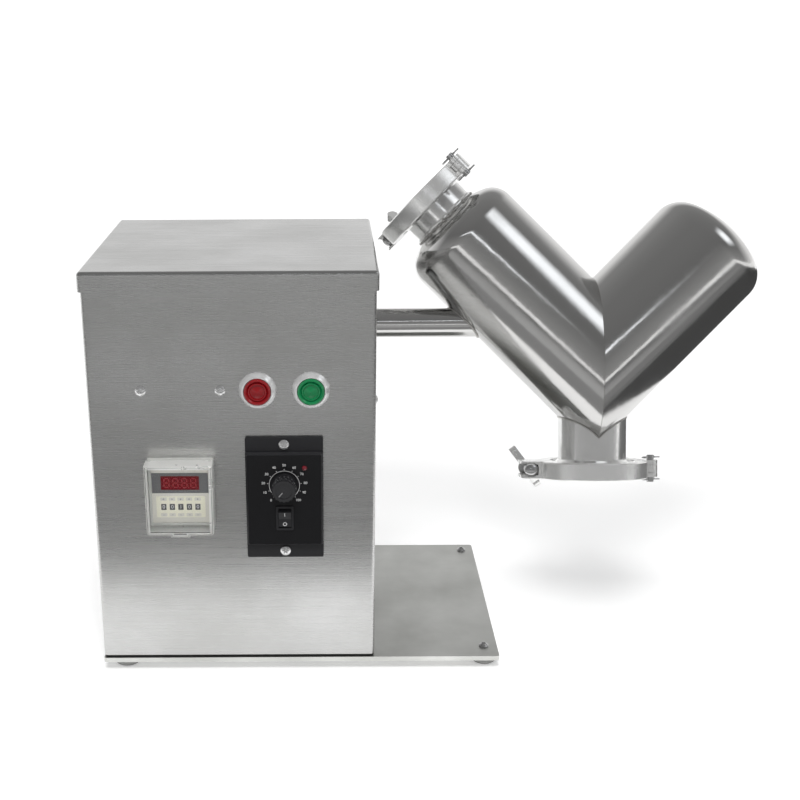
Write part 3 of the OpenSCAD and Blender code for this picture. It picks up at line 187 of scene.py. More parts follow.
def makeBrushLines():
    # fine straight lines, level on upright faces and along X on flat ones
    tree, given, out = newGroup("brushLines", effects["brush"], ["Lines"])
    coord = put(tree, "ShaderNodeTexCoord")
    place = put(tree, "ShaderNodeSeparateXYZ")
    tree.links.new(coord.outputs["Object"], place.inputs[0])
    facing = put(tree, "ShaderNodeSeparateXYZ")
    tree.links.new(coord.outputs["Normal"], facing.inputs[0])
    rise = calc(tree, "ABSOLUTE", facing.outputs["Z"])
    flat = calc(tree, "GREATER_THAN", rise, effects["flatAbove"])
    upright = calc(tree, "SUBTRACT", 1.0, flat)
    fineY = calc(tree, "MULTIPLY", flat, given["Fine"])
    fineZ = calc(tree, "MULTIPLY", upright, given["Fine"])
    scaled = put(tree, "ShaderNodeCombineXYZ")
    stretchY = calc(tree, "MAXIMUM", fineY, given["Along"])
    stretchZ = calc(tree, "MAXIMUM", fineZ, given["Along"])
    for axis, stretch in (("X", given["Along"]), ("Y", stretchY), ("Z", stretchZ)):
        wire(tree, calc(tree, "MULTIPLY", place.outputs[axis], stretch), scaled.inputs[axis])
    wire(tree, noise(tree, scaled.outputs[0], scale=1.0, detail=3.0, roughness=0.6), out["Lines"])
    return tree


def makeCloudy():
    # slow patches such as stains, handling marks and polish
    tree, given, out = newGroup("cloudy", {"Size": 20.0, "Contrast": 2.0}, ["Mask"])
    coord = put(tree, "ShaderNodeTexCoord")
    patch = noise(tree, coord.outputs["Object"], given["Size"], detail=4.0, roughness=0.55)
    centred = calc(tree, "MULTIPLY", calc(tree, "SUBTRACT", patch, 0.5), given["Contrast"])
    clamped = put(tree, "ShaderNodeClamp")
    wire(tree, calc(tree, "ADD", centred, 0.5), clamped.inputs["Value"])
    wire(tree, clamped.outputs[0], out["Mask"])
    return tree


def makeGrain():
    # moulded or cast skin, even in all directions
    tree, given, out = newGroup("grain", {"Size": 900.0}, ["Height"])
    coord = put(tree, "ShaderNodeTexCoord")
    skin = noise(tree, coord.outputs["Object"], given["Size"], detail=3.0, roughness=0.6)
    wire(tree, skin, out["Height"])
    return tree


brushLines = makeBrushLines()
cloudy = makeCloudy()
grain = makeGrain()


def clouds(tree, size, contrast):
    return useGroup(tree, cloudy, {"Size": size, "Contrast": contrast})["Mask"]


def patchy(tree, shader, colour, size, contrast):
    # colour with slightly darker patches
    patch = clouds(tree, size, contrast)
    tint(tree, shader, patch, [c * effects["patchShade"] for c in colour], colour)
    return patch


def roughNoise(tree, value, rough):
    # roughness that follows a noise
    spread = effects["roughSpread"]
    return fitRange(tree, value, *effects["noiseSpan"], rough - spread, rough + spread)


# finishes
def makeBrushed(name, dark, light, rough, depth):
    material, tree, shader = newMaterial(name, {"Metallic": 1.0})
    lines = useGroup(tree, brushLines, effects["brush"])["Lines"]
    stain = clouds(tree, size=16.0, contrast=2.2)
    tint(tree, shader, stain, dark, light)
    streak = roughNoise(tree, lines, rough)
    change = calc(tree, "MULTIPLY", stain, effects["stainRough"])
    wire(tree, calc(tree, "ADD", streak, change), shader.inputs["Roughness"])
    bump(tree, shader, lines, depth)
    return material


def makePolished(name, colour, rough, wave):
    material, tree, shader = newMaterial(name, {"Metallic": 1.0, "Base Color": (*colour, 1)})
    smear = clouds(tree, size=26.0, contrast=2.5)
    smeared = fitRange(tree, smear, 0.0, 1.0, rough, rough * effects["smearRough"])
    wire(tree, smeared, shader.inputs["Roughness"])
    bump(tree, shader, useGroup(tree, grain, {"Size": 30.0})["Height"], wave)
    return material


def makeCast(name, colour, rough, depth, metal):
    material, tree, shader = newMaterial(name, {"Metallic": metal})
    patch = patchy(tree, shader, colour, size=120.0, contrast=2.0)
    inDark, inLight = effects["castRough"]
    worn = fitRange(tree, patch, 0.0, 1.0, rough + inDark, rough + inLight)
    wire(tree, worn, shader.inputs["Roughness"])
    bump(tree, shader, useGroup(tree, grain, {"Size": 1400.0})["Height"], depth)
    return material


def makeMoulded(name, colour, rough, depth, coat=0.0, shine=0.5):
    sockets = {"Coat Weight": coat, "Coat Roughness": 0.08, "Specular IOR Level": shine}
    material, tree, shader = newMaterial(name, sockets)
    patchy(tree, shader, colour, size=60.0, contrast=1.6)
    skin = useGroup(tree, grain, {"Size": 1800.0})["Height"]
    wire(tree, roughNoise(tree, skin, rough), shader.inputs["Roughness"])
    bump(tree, shader, skin, depth)
    return material


def makeClear(name, colour, rough, ior, clear):
    sockets = {"Transmission Weight": clear, "Base Color": (*colour, 1), "IOR": ior}
    material, tree, shader = newMaterial(name, sockets)
    smear = clouds(tree, size=90.0, contrast=2.4)
    clouded = fitRange(tree, smear, 0.0, 1.0, rough, rough * effects["cloudRough"])
    wire(tree, clouded, shader.inputs["Roughness"])
    return material


finishSettings = {
    makeBrushed: {  # dark, light, roughness, depth of the lines
        "sheetSteel": ((0.52, 0.52, 0.51), (0.6, 0.6, 0.595), 0.3, 0.03 * mm),
        "plateSteel": ((0.54, 0.545, 0.52), (0.74, 0.745, 0.72), 0.36, 0.03 * mm),
    },
    makePolished: {  # colour, roughness, height of the waves
        "mirrorSteel": ((0.63, 0.625, 0.615), 0.08, 0.16 * mm),
        "turnedSteel": ((0.6, 0.6, 0.6), 0.16, 0.02 * mm),
    },
    makeCast: {  # colour, roughness, depth of the skin, how metallic
        "bezelChrome": ((0.88, 0.88, 0.88), 0.14, 0.01 * mm, 0.65),
        "castSteel": ((0.9, 0.9, 0.89), 0.22, 0.06 * mm, 0.8),
        "ferruleSteel": ((0.88, 0.88, 0.87), 0.14, 0.01 * mm, 0.85),
        "screwSteel": ((0.78, 0.78, 0.78), 0.2, 0.01 * mm, 0.88),
        "plainSteel": ((0.4, 0.4, 0.4), 0.45, 0.03 * mm, 1.0),
        "weldSteel": ((0.5, 0.49, 0.47), 0.2, 0.25 * mm, 1.0),
    },
    makeMoulded: {  # colour, roughness, depth of the skin, and for some coat and shine
        "bearingPaint": ((0.1, 0.2, 0.16), 0.4, 0.04 * mm),
        "motorPaint": ((0.06, 0.08, 0.11), 0.4, 0.04 * mm),
        # black strip under the housing: painted shadow of the gap between housing and base plate
        "sealRubber": ((0.02, 0.02, 0.02), 0.7, 0.04 * mm),
        "footRubber": ((0.42, 0.42, 0.41), 0.5, 0.04 * mm),
        "blackNylon": ((0.02, 0.02, 0.02), 0.45, 0.03 * mm),
        "controlBlack": ((0.018, 0.018, 0.02), 0.42, 0.04 * mm, 0.0, 0.28),
        "knobBlack": ((0.02, 0.02, 0.022), 0.2, 0.01 * mm, 0.5),
        "labelBlack": ((0.008, 0.008, 0.009), 0.24, 0.01 * mm, 0.0, 0.25),
        "inkWhite": ((0.72, 0.72, 0.72), 0.5, 0.01 * mm),
        "inkGrey": ((0.25, 0.25, 0.25), 0.5, 0.01 * mm),
        "timerCream": ((0.7, 0.68, 0.62), 0.4, 0.02 * mm),
        "timerGrey": ((0.6, 0.6, 0.58), 0.4, 0.02 * mm),
        "timerIvory": ((0.86, 0.84, 0.7), 0.42, 0.01 * mm),
        "bandGrey": ((0.12, 0.12, 0.125), 0.4, 0.01 * mm),
        "windowDark": ((0.06, 0.06, 0.06), 0.4, 0.01 * mm),
        "displayRed": ((0.15, 0.005, 0.009), 0.25, 0.01 * mm, 0.0, 0.05),
        "segmentRed": ((0.42, 0.05, 0.06), 0.4, 0.01 * mm, 0.0, 0.1),
        "lampRed": ((0.15, 0.008, 0.016), 0.2, 0.01 * mm, 0.6),
        "lensRed": ((0.24, 0.003, 0.006), 0.16, 0.01 * mm, 0.7, 0.3),
        "lensGreen": ((0.003, 0.19, 0.06), 0.16, 0.01 * mm, 0.7, 0.3),
        "whiteSilicone": ((0.7, 0.7, 0.68), 0.45, 0.02 * mm),
    },
    makeClear: {  # colour, roughness, IOR, how clear
        "coverClear": ((0.98, 0.985, 0.98), 0.02, 1.15, 1.0),
        # whiter, part-clear edge finish: painted highlight for light scattered along the lid's walls
        "coverEdge": ((0.9, 0.9, 0.88), 0.2, 1.4, 0.6),
    },
}
finishes = {name: make(name, *row) for make, rows in finishSettings.items() for name, row in rows.items()}

nodeFinishes = {
    "sheetSteel": ["housing_wrap", "rear_panel", "top_cover"],
    "plateSteel": ["base_plate"],
    "mirrorSteel": ["main_shaft", "left_leg", "right_leg", "left_end", "right_end", "inlet_cap",
                    "outlet_cap"],
    "ferruleSteel": ["inlet_ferrule", "outlet_ferrule"],
    "castSteel": ["inlet_clamp_front", "outlet_clamp_front", "inlet_clamp_rear", "outlet_clamp_rear",
                  "inlet_wing_nut", "outlet_wing_nut"],
    "turnedSteel": ["foot_screws", "inlet_hinge_pin", "outlet_hinge_pin", "inlet_clamp_bolt",
                    "outlet_clamp_bolt"],
    "plainSteel": ["drive_bolts", "bearing_shelf", "bearing_stand", "motor_bracket", "output_shaft",
                   "bearing_rings", "gearhead"],
    "bearingPaint": ["bearing_housing_left", "bearing_housing_right"],
    "motorPaint": ["motor_case"],
    "bezelChrome": ["stop_bezel", "start_bezel"],
    "screwSteel": ["housing_screws", "control_screws"],
    # base_seal is black as a painted shadow line in the gap under the housing
    "sealRubber": ["base_seal"],
    "footRubber": ["feet"],
    "blackNylon": ["shaft_bush", "cable_gland", "button_nuts", "button_contacts"],
    "controlBlack": ["speed_control", "switch_frame", "power_rocker"],
    "knobBlack": ["speed_knob"],
    "timerGrey": ["timer_frame", "timer_case"],
    "timerCream": ["timer_face", "timer_keys", "run_capacitor"],
    "displayRed": ["timer_display"],
    "lampRed": ["power_lamp"],
    "lensRed": ["stop_button"],
    "lensGreen": ["start_button"],
    "whiteSilicone": ["inlet_gasket", "outlet_gasket"],
    "coverClear": ["timer_cover"],
}
for finish, names in nodeFinishes.items():
    for name in names:
        slots = nodes[name].data.materials
        slots.clear()
        slots.append(finishes[finish])
print("finishes on all nodes")


# making pieces
mergeGap = 0.001 * mm  # vertices closer than this are one


def keep(name, build, finish, body, smooth=35):
    # edges that turn by more than smooth, in degrees, stay sharp
    mesh = bpy.data.meshes.new(name)
    bmesh.ops.remove_doubles(build, verts=build.verts, dist=mergeGap)
    bmesh.ops.recalc_face_normals(build, faces=build.faces)
    build.to_mesh(mesh)
    build.free()
    mesh.polygons.foreach_set("use_smooth", [True] * len(mesh.polygons))
    mesh.set_sharp_from_angle(angle=math.radians(smooth))
    piece = bpy.data.objects.new(name, mesh)
    bpy.context.scene.collection.objects.link(piece)
    mesh.materials.append(finishes[finish])
    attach(piece, body)
    return piece


def finalMesh(thing):
    bpy.context.view_layer.update()
    return bpy.data.meshes.new_from_object(thing.evaluated_get(bpy.context.evaluated_depsgraph_get()))


def settle(piece, smooth):
    # applies the modifiers, so that sharp edges are found on the final faces
    mesh = finalMesh(piece)
    piece.modifiers.clear()
    piece.data = mesh
    mesh.set_sharp_from_angle(angle=math.radians(smooth))


def moved(build, verts, matrix):
    bmesh.ops.transform(build, matrix=matrix, verts=verts)


def rounded(build, edges, offset, segments):
    bmesh.ops.bevel(build, geom=edges, offset=offset, affect="EDGES", segments=segments, profile=0.5,
                    material=-1)


def spun(build, steps):
    # a full turn around Z
    bmesh.ops.spin(build, geom=build.verts[:] + build.edges[:], cent=(0, 0, 0), axis=(0, 0, 1),
                   angle=math.tau, steps=steps, use_merge=True, use_duplicate=False)


def turned(outline, steps):
    # outline of radius and height
    build = bmesh.new()
    verts = [build.verts.new((radius, 0, height)) for radius, height in outline]
    for pair in zip(verts, verts[1:]):
        build.edges.new(pair)
    spun(build, steps)
    return build


def merged(build, part, matrix):
    # adds a part that was made at its own origin
    moved(part, part.verts, matrix)
    mesh = bpy.data.meshes.new("part")
    part.to_mesh(mesh)
    part.free()
    build.from_mesh(mesh)
    bpy.data.meshes.remove(mesh)


def mergedCurve(build, data, matrix):
    # adds the final mesh of a curve or text
    line = bpy.data.objects.new("line", data)
    bpy.context.scene.collection.objects.link(line)
    mesh = finalMesh(line)
    mesh.transform(matrix)
    build.from_mesh(mesh)
    bpy.data.objects.remove(line)
    bpy.data.curves.remove(data)
    bpy.data.meshes.remove(mesh)


def roundPlate(build, width, height, depth, corner, matrix, edge=0.0):
    # plate with round corners that stands on Z = 0
    part = bmesh.new()
    bmesh.ops.create_cube(part, size=1)
    sized = Matrix.Translation((0, 0, depth / 2)) @ Matrix.Diagonal((width, height, depth, 1))
    moved(part, part.verts, sized)
    if corner:
        upright = [e for e in part.edges if abs(e.verts[0].co.z - e.verts[1].co.z) > depth / 2]
        rounded(part, upright, corner, segments=6)
    if edge:
        rim = [e for e in part.edges if all(v.co.z > depth / 2 for v in e.verts)]
        rounded(part, rim, edge, segments=3)
    merged(build, part, matrix)


def framePlate(build, outer, inner, depth, matrix):
    # flat frame between two rectangles
    part = bmesh.new()
    for size in (outer, inner):
        corners = bmesh.ops.create_grid(part, x_segments=1, y_segments=1, size=0.5)["verts"]
        moved(part, corners, Matrix.Diagonal((*size, 1, 1)))
    bmesh.ops.delete(part, geom=part.faces[:], context="FACES_ONLY")
    bmesh.ops.bridge_loops(part, edges=part.edges[:])
    raised = bmesh.ops.extrude_face_region(part, geom=part.faces[:])["geom"]
    tops = [v for v in raised if isinstance(v, bmesh.types.BMVert)]
    moved(part, tops, Matrix.Translation((0, 0, depth)))
    merged(build, part, matrix)


def flatRing(build, inner, outer, depth, matrix, steps):
    outline = ((inner, 0), (outer, 0), (outer, depth), (inner, depth), (inner, 0))
    merged(build, turned(outline, steps), matrix)


def lettering(build, text, size, depth, matrix):
    data = bpy.data.curves.new("mark", "FONT")
    data.body = text
    data.size = size
    data.extrude = depth / 2
    data.align_x = "CENTER"
    data.align_y = "CENTER"
    data.resolution_u = 3
    mergedCurve(build, data, matrix @ Matrix.Translation((0, 0, depth / 2)))


def panelSpot(x, y, z):
    # X right, Y up, Z out of the front panel
    return Matrix.Translation((x, y, z)) @ Matrix.Rotation(math.radians(90), 4, "X")


def frontSpot(node):
    # middle of a node's front
    low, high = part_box(node)
    return panelSpot((low.x + high.x) / 2, low.y, (low.z + high.z) / 2)


# vessel shells
vessel = {
    "lean": 17.0,  # degrees that the V leans back
    "spread": 45.0,  # degrees from the middle of the V to each leg
    "meetDrop": 35.4 * mm,  # from the shaft's axis down to where the legs' axes meet
    "radius": 50.5 * mm,
    "wall": 2 * mm,
    "lengths": {-1: 175.6 * mm, 1: 157.5 * mm},  # left and right, from where the axes meet
    "pastMitre": 4 * mm,  # spare length that the mitre cuts off
    "crown": 90 * mm,
    "knuckle": 20 * mm,
    "neck": 28 * mm,
    "shaft": 12 * mm,
    "arcSteps": 12,
    "steps": 128,
    "smooth": 30,
}
vesselFrame = (Matrix.Translation(joints["vessel_spin"]["pos_m"])
               @ Matrix.Rotation(math.radians(-vessel["lean"]), 4, "X"))


def legFrame(side):
    return (vesselFrame @ Matrix.Translation((0, 0, -vessel["meetDrop"]))
            @ Matrix.Rotation(side * math.radians(vessel["spread"]), 4, "Y"))


def arc(x, z, radius, start, end):
    # points of an arc after its first one, with angles from the leg's axis
    count = vessel["arcSteps"]
    angles = [start + (end - start) * i / count for i in range(1, count + 1)]
    return [(x + radius * math.sin(a), z + radius * math.cos(a)) for a in angles]


def legShell(side, name, replaced, hole):
    radius, crown, knuckle = vessel["radius"], vessel["crown"], vessel["knuckle"]
    inset = radius - knuckle
    crownMid = vessel["lengths"][side] - crown
    knuckleMid = crownMid + math.sqrt((crown - knuckle) ** 2 - inset ** 2)
    meet = math.asin(inset / (crown - knuckle))  # where knuckle and crown meet
    outline = [(radius, -radius - vessel["pastMitre"]), (radius, knuckleMid)]
    outline += arc(inset, knuckleMid, knuckle, math.pi / 2, meet)
    outline += arc(0, crownMid, crown, meet, math.asin(hole / crown))
    build = turned(outline, vessel["steps"])
    bmesh.ops.remove_doubles(build, verts=build.verts, dist=mergeGap)
    moved(build, build.verts, legFrame(side))
    bmesh.ops.bisect_plane(build, geom=build.verts[:] + build.edges[:] + build.faces[:], dist=mergeGap,
                           plane_co=vesselFrame.translation, plane_no=(-side, 0, 0), clear_outer=True)
    shell = keep(name, build, "mirrorSteel", "vessel", vessel["smooth"])
    solid = shell.modifiers.new("wall", "SOLIDIFY")
    solid.thickness = vessel["wall"]
    solid.offset = -1
    settle(shell, vessel["smooth"])
    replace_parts(shell, *replaced)


legShell(-1, "leftShell", ("left_leg", "left_end"), vessel["neck"] - vessel["wall"])
legShell(1, "rightShell", ("right_leg", "right_end"), 0.0)
print("vessel shells turned")


# weld seams
welds = {
    "mitreSeam": (0.22 * mm, 160),  # radius, points
    "shaftSeam": (1.1 * mm, 72),
    "outletSeam": (0.88 * mm, 120),
    "inletBead": 1.7 * mm,
    "inletPoints": (10, 180),  # around the bead and around the neck
    "ripple": (0.3, 31),  # share of the bead, waves around the neck
    "unevenness": (0.25, 13, 2, 5),  # the same, and how far and how often its waves shift
    "smooth": 60,
}


def keepWeld(name, build):
    keep(name, build, "weldSteel", "vessel", welds["smooth"])


def seam(name, points):
    data = bpy.data.curves.new(name, "CURVE")
    data.dimensions = "3D"
    data.bevel_depth = welds[name][0]
    data.bevel_resolution = 3
    spline = data.splines.new("POLY")
    spline.points.add(len(points) - 1)
    for point, place in zip(spline.points, points):
        point.co = (*(vesselFrame @ Vector(place)), 1)
    spline.use_cyclic_u = True
    build = bmesh.new()
    mergedCurve(build, data, Matrix())
    keepWeld(name, build)


def around(name):
    count = welds[name][1]
    return [math.tau * i / count for i in range(count)]


def weldSeams():
    radius, drop = vessel["radius"], vessel["meetDrop"]
    spread = math.radians(vessel["spread"])
    along, across = math.sin(spread), math.cos(spread)
    mitre = [(0, radius * math.cos(a), radius / along * math.sin(a) - drop) for a in around("mitreSeam")]
    saddle = []
    for a in around("shaftSeam"):
        y, z = vessel["shaft"] * math.cos(a), vessel["shaft"] * math.sin(a)
        saddle.append(((-math.sqrt(radius ** 2 - y ** 2) - (z + drop) * along) / across, y, z))
    throat = []
    for a in around("outletSeam"):
        x, y = vessel["neck"] * math.cos(a), vessel["neck"] * math.sin(a)
        throat.append((x, y, (abs(x) * across - math.sqrt(radius ** 2 - y ** 2)) / along - drop))
    seam("mitreSeam", mitre)
    seam("shaftSeam", saddle)
    seam("outletSeam", throat)


def inletWeld():
    # uneven bead where the inlet neck enters the dished end
    neck, crown = vessel["neck"], vessel["crown"]
    level = vessel["lengths"][-1] - crown + math.sqrt(crown ** 2 - neck ** 2)
    beadPoints, neckPoints = welds["inletPoints"]
    ripple, waves = welds["ripple"]
    uneven, slowWaves, shift, shifts = welds["unevenness"]
    build = bmesh.new()
    bmesh.ops.create_circle(build, segments=beadPoints, radius=welds["inletBead"])
    moved(build, build.verts, Matrix.Translation((neck, 0, level)) @ Matrix.Rotation(math.pi / 2, 4, "X"))
    spun(build, neckPoints)
    for vert in build.verts:
        a = math.atan2(vert.co.y, vert.co.x)
        mid = Vector((neck * math.cos(a), neck * math.sin(a), level))
        slow = uneven * math.sin(slowWaves * a + shift * math.sin(shifts * a))
        vert.co = mid + (vert.co - mid) * (1 + ripple * math.sin(waves * a) + slow)
    moved(build, build.verts, legFrame(-1))
    keepWeld("inletWeld", build)


weldSeams()
inletWeld()
print("weld seams run")


# speed control front
dial = {
    "label": (57.0 * mm, 74.4 * mm, 0.15 * mm),  # width, height, depth
    "labelCorner": 1 * mm,
    "ring": 11.6 * mm,
    "ringWidth": 0.28 * mm,
    "ringSteps": 96,
    "sweep": 280.0,  # degrees from the first number to the last
    "scale": (100, 10),  # last number, step
    "tick": (0.3 * mm, 1.0 * mm),
    "tickOut": 1.3 * mm,  # from the ring to a tick's middle
    "numbers": 16.4 * mm,  # radius of the number circle
    "textSize": 2.9 * mm,
    "ink": 0.06 * mm,
    "pointer": (0.8 * mm, 4.5 * mm, 0.12 * mm, 0.3 * mm),  # width, height, depth, corner
    "pointerOut": 4 * mm,  # from the knob's axis to the pointer's middle
    "capDrop": 0.6 * mm,  # from the knob's rim down to its cap
}


def controlLabel():
    build = bmesh.new()
    roundPlate(build, *dial["label"], dial["labelCorner"], frontSpot("speed_control"))
    keep("controlLabel", build, "labelBlack", "drive_box")


def dialPrint():
    knob = Vector(joints["speed_turn"]["pos_m"])
    ring, ink = dial["ring"], dial["ink"]
    spot = panelSpot(knob.x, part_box("speed_control")[0].y - dial["label"][2], knob.z)
    last, every = dial["scale"]
    build = bmesh.new()
    flatRing(build, ring, ring + dial["ringWidth"], ink, spot, dial["ringSteps"])
    for number in range(0, last + 1, every):
        angle = math.radians(dial["sweep"]) * (0.5 - number / last)  # to the left of straight up
        outward = Matrix.Rotation(angle, 4, "Z") @ Matrix.Translation((0, ring + dial["tickOut"], 0))
        roundPlate(build, *dial["tick"], ink, 0, spot @ outward)
        place = Vector((-math.sin(angle), math.cos(angle), 0)) * dial["numbers"]
        lettering(build, str(number), dial["textSize"], ink, spot @ Matrix.Translation(place))
    keep("dialPrint", build, "inkWhite", "drive_box")


def knobPointer():
    # at rest the knob points to the first number
    knob = Vector(joints["speed_turn"]["pos_m"])
    cap = panelSpot(knob.x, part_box("speed_knob")[0].y + dial["capDrop"], knob.z)
    outward = cap @ Matrix.Rotation(math.radians(dial["sweep"] / 2), 4, "Z")
    build = bmesh.new()
    roundPlate(build, *dial["pointer"], outward @ Matrix.Translation((0, dial["pointerOut"], 0)))
    keep("knobPointer", build, "inkGrey", "knob")


rocker = {
    "turn": 9.0,  # degrees between each half of the rocker and its middle plane
    "faceOut": 3.6 * mm,  # from the axis to the face
    "markOut": 4.2 * mm,  # from the axis to each mark
    "ring": (1.1 * mm, 1.55 * mm),  # inner and outer radius
    "ringSteps": 40,
    "bar": (0.5 * mm, 2.8 * mm),
    "barCorner": 0.1 * mm,
    "ink": 0.08 * mm,
}


def rockerPrint():
    turn = math.radians(rocker["turn"])
    base = panelSpot(*joints["power_rock"]["pos_m"]) @ Matrix.Rotation(turn, 4, "X")
    away = rocker["markOut"]
    out = rocker["faceOut"] + away * math.tan(turn)
    lower = base @ Matrix.Translation((0, -away, out)) @ Matrix.Rotation(-turn, 4, "X")
    upper = base @ Matrix.Translation((0, away, out)) @ Matrix.Rotation(turn, 4, "X")
    build = bmesh.new()
    flatRing(build, *rocker["ring"], rocker["ink"], lower, rocker["ringSteps"])
    roundPlate(build, *rocker["bar"], rocker["ink"], rocker["barCorner"], upper)
    keep("rockerPrint", build, "inkWhite", "rocker")


controlLabel()
dialPrint()
knobPointer()
rockerPrint()
print("speed control printed")


# push buttons
lens = {
    "stem": 8 * mm,
    "shoulder": 7.5 * mm,  # behind the front
    "rings": (  # radius, depth behind the front, mm
        (10.3, 0.9), (10.1, 0.3), (9.6, 0.0), (8.8, 0.05), (7.7, 1.3), (7.3, 1.8), (6.9, 0.9),
        (6.0, 0.8), (5.4, 1.9), (0.0, 1.9),
    ),
    "cone": (4.9 * mm, 0.4 * mm, 1.8 * mm),  # radii of foot and tip, height
    "facets": 9,
    "steps": 72,
    "smooth": 25,
}


def inMetres(rings):
    # height is measured out of the panel, depth into it
    return [(radius * mm, -depth * mm) for radius, depth in rings]


def buttonLens(name, node, finish, body):
    low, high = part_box(node)
    back, stem, shoulder = low.y - high.y, lens["stem"], -lens["shoulder"]
    rings = inMetres(lens["rings"])
    outline = [(0, back), (stem, back), (stem, shoulder), (rings[0][0], shoulder), *rings]
    build = turned(outline, lens["steps"])
    foot, tip, height = lens["cone"]
    cone = bmesh.ops.create_cone(build, segments=lens["facets"], radius1=foot, radius2=tip, depth=height,
                                 cap_ends=True)["verts"]
    moved(build, cone, Matrix.Translation((0, 0, rings[-1][1] + height / 2)))
    moved(build, build.verts, frontSpot(node))
    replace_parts(keep(name, build, finish, body, lens["smooth"]), node)


bezel = {
    "bodyRadius": 11.2 * mm,
    "guide": 8.3 * mm,
    "deep": 10.3 * mm,  # bore, behind the front
    "cone": (  # radius, depth behind the front, mm
        (14.5, 5.0), (14.5, 4.4), (14.2, 3.7), (13.6, 2.9), (11.9, 0.5), (11.5, 0.1), (11.1, 0.0),
        (10.7, 0.1), (10.6, 0.3),
    ),
    "steps": 96,
    "smooth": 40,
}


def buttonBezel(name, node):
    # sloping chrome ring with the threaded body behind it
    low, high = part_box(node)
    back, bore, guide, body = low.y - high.y, -bezel["deep"], bezel["guide"], bezel["bodyRadius"]
    cone = inMetres(bezel["cone"])
    outline = [(guide, back), (body, back), (body, cone[0][1]), *cone]
    outline += [(cone[-1][0], bore), (guide, bore), (guide, back)]
    build = turned(outline, bezel["steps"])
    moved(build, build.verts, frontSpot(node))
    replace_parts(keep(name, build, "bezelChrome", "drive_box", bezel["smooth"]), node)


buttonLens("stopLens", "stop_button", "lensRed", "stop_push")
buttonLens("startLens", "start_button", "lensGreen", "start_push")
buttonBezel("stopRing", "stop_bezel")
buttonBezel("startRing", "start_bezel")
print("push buttons turned")


# timer display
display = {
    "band": (43.6 * mm, 16.6 * mm),
    "bandDepth": 0.35 * mm,
    "window": (29.7 * mm, 11.6 * mm),
    "digits": 4,
    "digit": (4.6 * mm, 8.0 * mm),  # over the outside of the strokes
    "pitch": 6.9 * mm,
    "stroke": 0.75 * mm,
    "strokeGap": 1.5,  # strokes by which a segment is shorter than its side
    "strokeCorner": 0.3,  # of the stroke
    "depth": 0.08 * mm,
    "point": (0.8 * mm, 0.3 * mm),  # width, corner
    "pointOut": 0.9 * mm,  # to the right of its digit
}


def segmentDigit(build, matrix):
    # all seven segments, as in an unlit display
    stroke, depth = display["stroke"], display["depth"]
    width, height = (size - stroke for size in display["digit"])
    gap, corner = stroke * display["strokeGap"], stroke * display["strokeCorner"]
    half = height / 2
    for y in (-half, 0, half):
        roundPlate(build, width - gap, stroke, depth, corner, matrix @ Matrix.Translation((0, y, 0)))
    for x in (-width / 2, width / 2):
        for y in (-half / 2, half / 2):
            roundPlate(build, stroke, half - gap, depth, corner, matrix @ Matrix.Translation((x, y, 0)))


def timerDisplay():
    faceLow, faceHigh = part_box("timer_face")
    showLow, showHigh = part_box("timer_display")
    x, z = (faceLow.x + faceHigh.x) / 2, (showLow.z + showHigh.z) / 2
    build = bmesh.new()
    framePlate(build, display["band"], display["window"], display["bandDepth"], panelSpot(x, faceLow.y, z))
    keep("displayBand", build, "bandGrey", "drive_box")
    screen = panelSpot(x, showLow.y, z)
    digitWidth, digitHeight = display["digit"]
    pointSize, pointCorner = display["point"]
    corner = Matrix.Translation((digitWidth / 2 + display["pointOut"], -digitHeight / 2, 0))
    build = bmesh.new()
    for i in range(display["digits"]):
        spot = screen @ Matrix.Translation(((i - (display["digits"] - 1) / 2) * display["pitch"], 0, 0))
        segmentDigit(build, spot)
        roundPlate(build, pointSize, pointSize, display["depth"], pointCorner, spot @ corner)
    keep("displayDigits", build, "segmentRed", "drive_box")


# timer setting rows
setting = {
    "block": (38.0 * mm, 17.6 * mm, 0.35 * mm, 0.8 * mm),  # width, height, depth, corner
    "blockEdge": 0.15 * mm,
    "digits": "00100",
    "wheel": (4.0 * mm, 5.0 * mm, 0.1 * mm, 0.3 * mm),
    "pitch": 6.6 * mm,
    "text": (4.4 * mm, 0.05 * mm),  # size, depth
    "level": (1.5 * mm, 0.35 * mm, 0.05 * mm),  # stroke of plus and minus
    "upright": (0.35 * mm, 1.5 * mm, 0.06 * mm),  # stroke of plus alone
    "signIn": 1.3 * mm,  # from the outer edge of the keys to the signs
}


def settingRows():
    faceLow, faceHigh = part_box("timer_face")
    keyLow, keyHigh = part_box("timer_keys")
    rows = panelSpot((faceLow.x + faceHigh.x) / 2, faceLow.y, (keyLow.z + keyHigh.z) / 2)
    blockDepth, wheelDepth = setting["block"][2], setting["wheel"][2]
    signOut = faceLow.y - keyLow.y
    signUp = (keyHigh.z - keyLow.z) / 2 - setting["signIn"]
    block, wheels = bmesh.new(), bmesh.new()
    marks, signs = bmesh.new(), bmesh.new()
    roundPlate(block, *setting["block"], rows, setting["blockEdge"])
    for i, digit in enumerate(setting["digits"]):
        x = (i - (len(setting["digits"]) - 1) / 2) * setting["pitch"]
        roundPlate(wheels, *setting["wheel"], rows @ Matrix.Translation((x, 0, blockDepth)))
        onWheel = rows @ Matrix.Translation((x, 0, blockDepth + wheelDepth))
        lettering(marks, digit, *setting["text"], onWheel)
        plus = rows @ Matrix.Translation((x, signUp, signOut))
        minus = rows @ Matrix.Translation((x, -signUp, signOut))
        roundPlate(signs, *setting["level"], 0, plus)
        roundPlate(signs, *setting["upright"], 0, plus)
        roundPlate(signs, *setting["level"], 0, minus)
    keep("settingBlock", block, "timerIvory", "drive_box")
    keep("settingWheels", wheels, "windowDark", "drive_box")
    keep("wheelDigits", marks, "inkWhite", "drive_box")
    keep("keySigns", signs, "inkGrey", "drive_box")


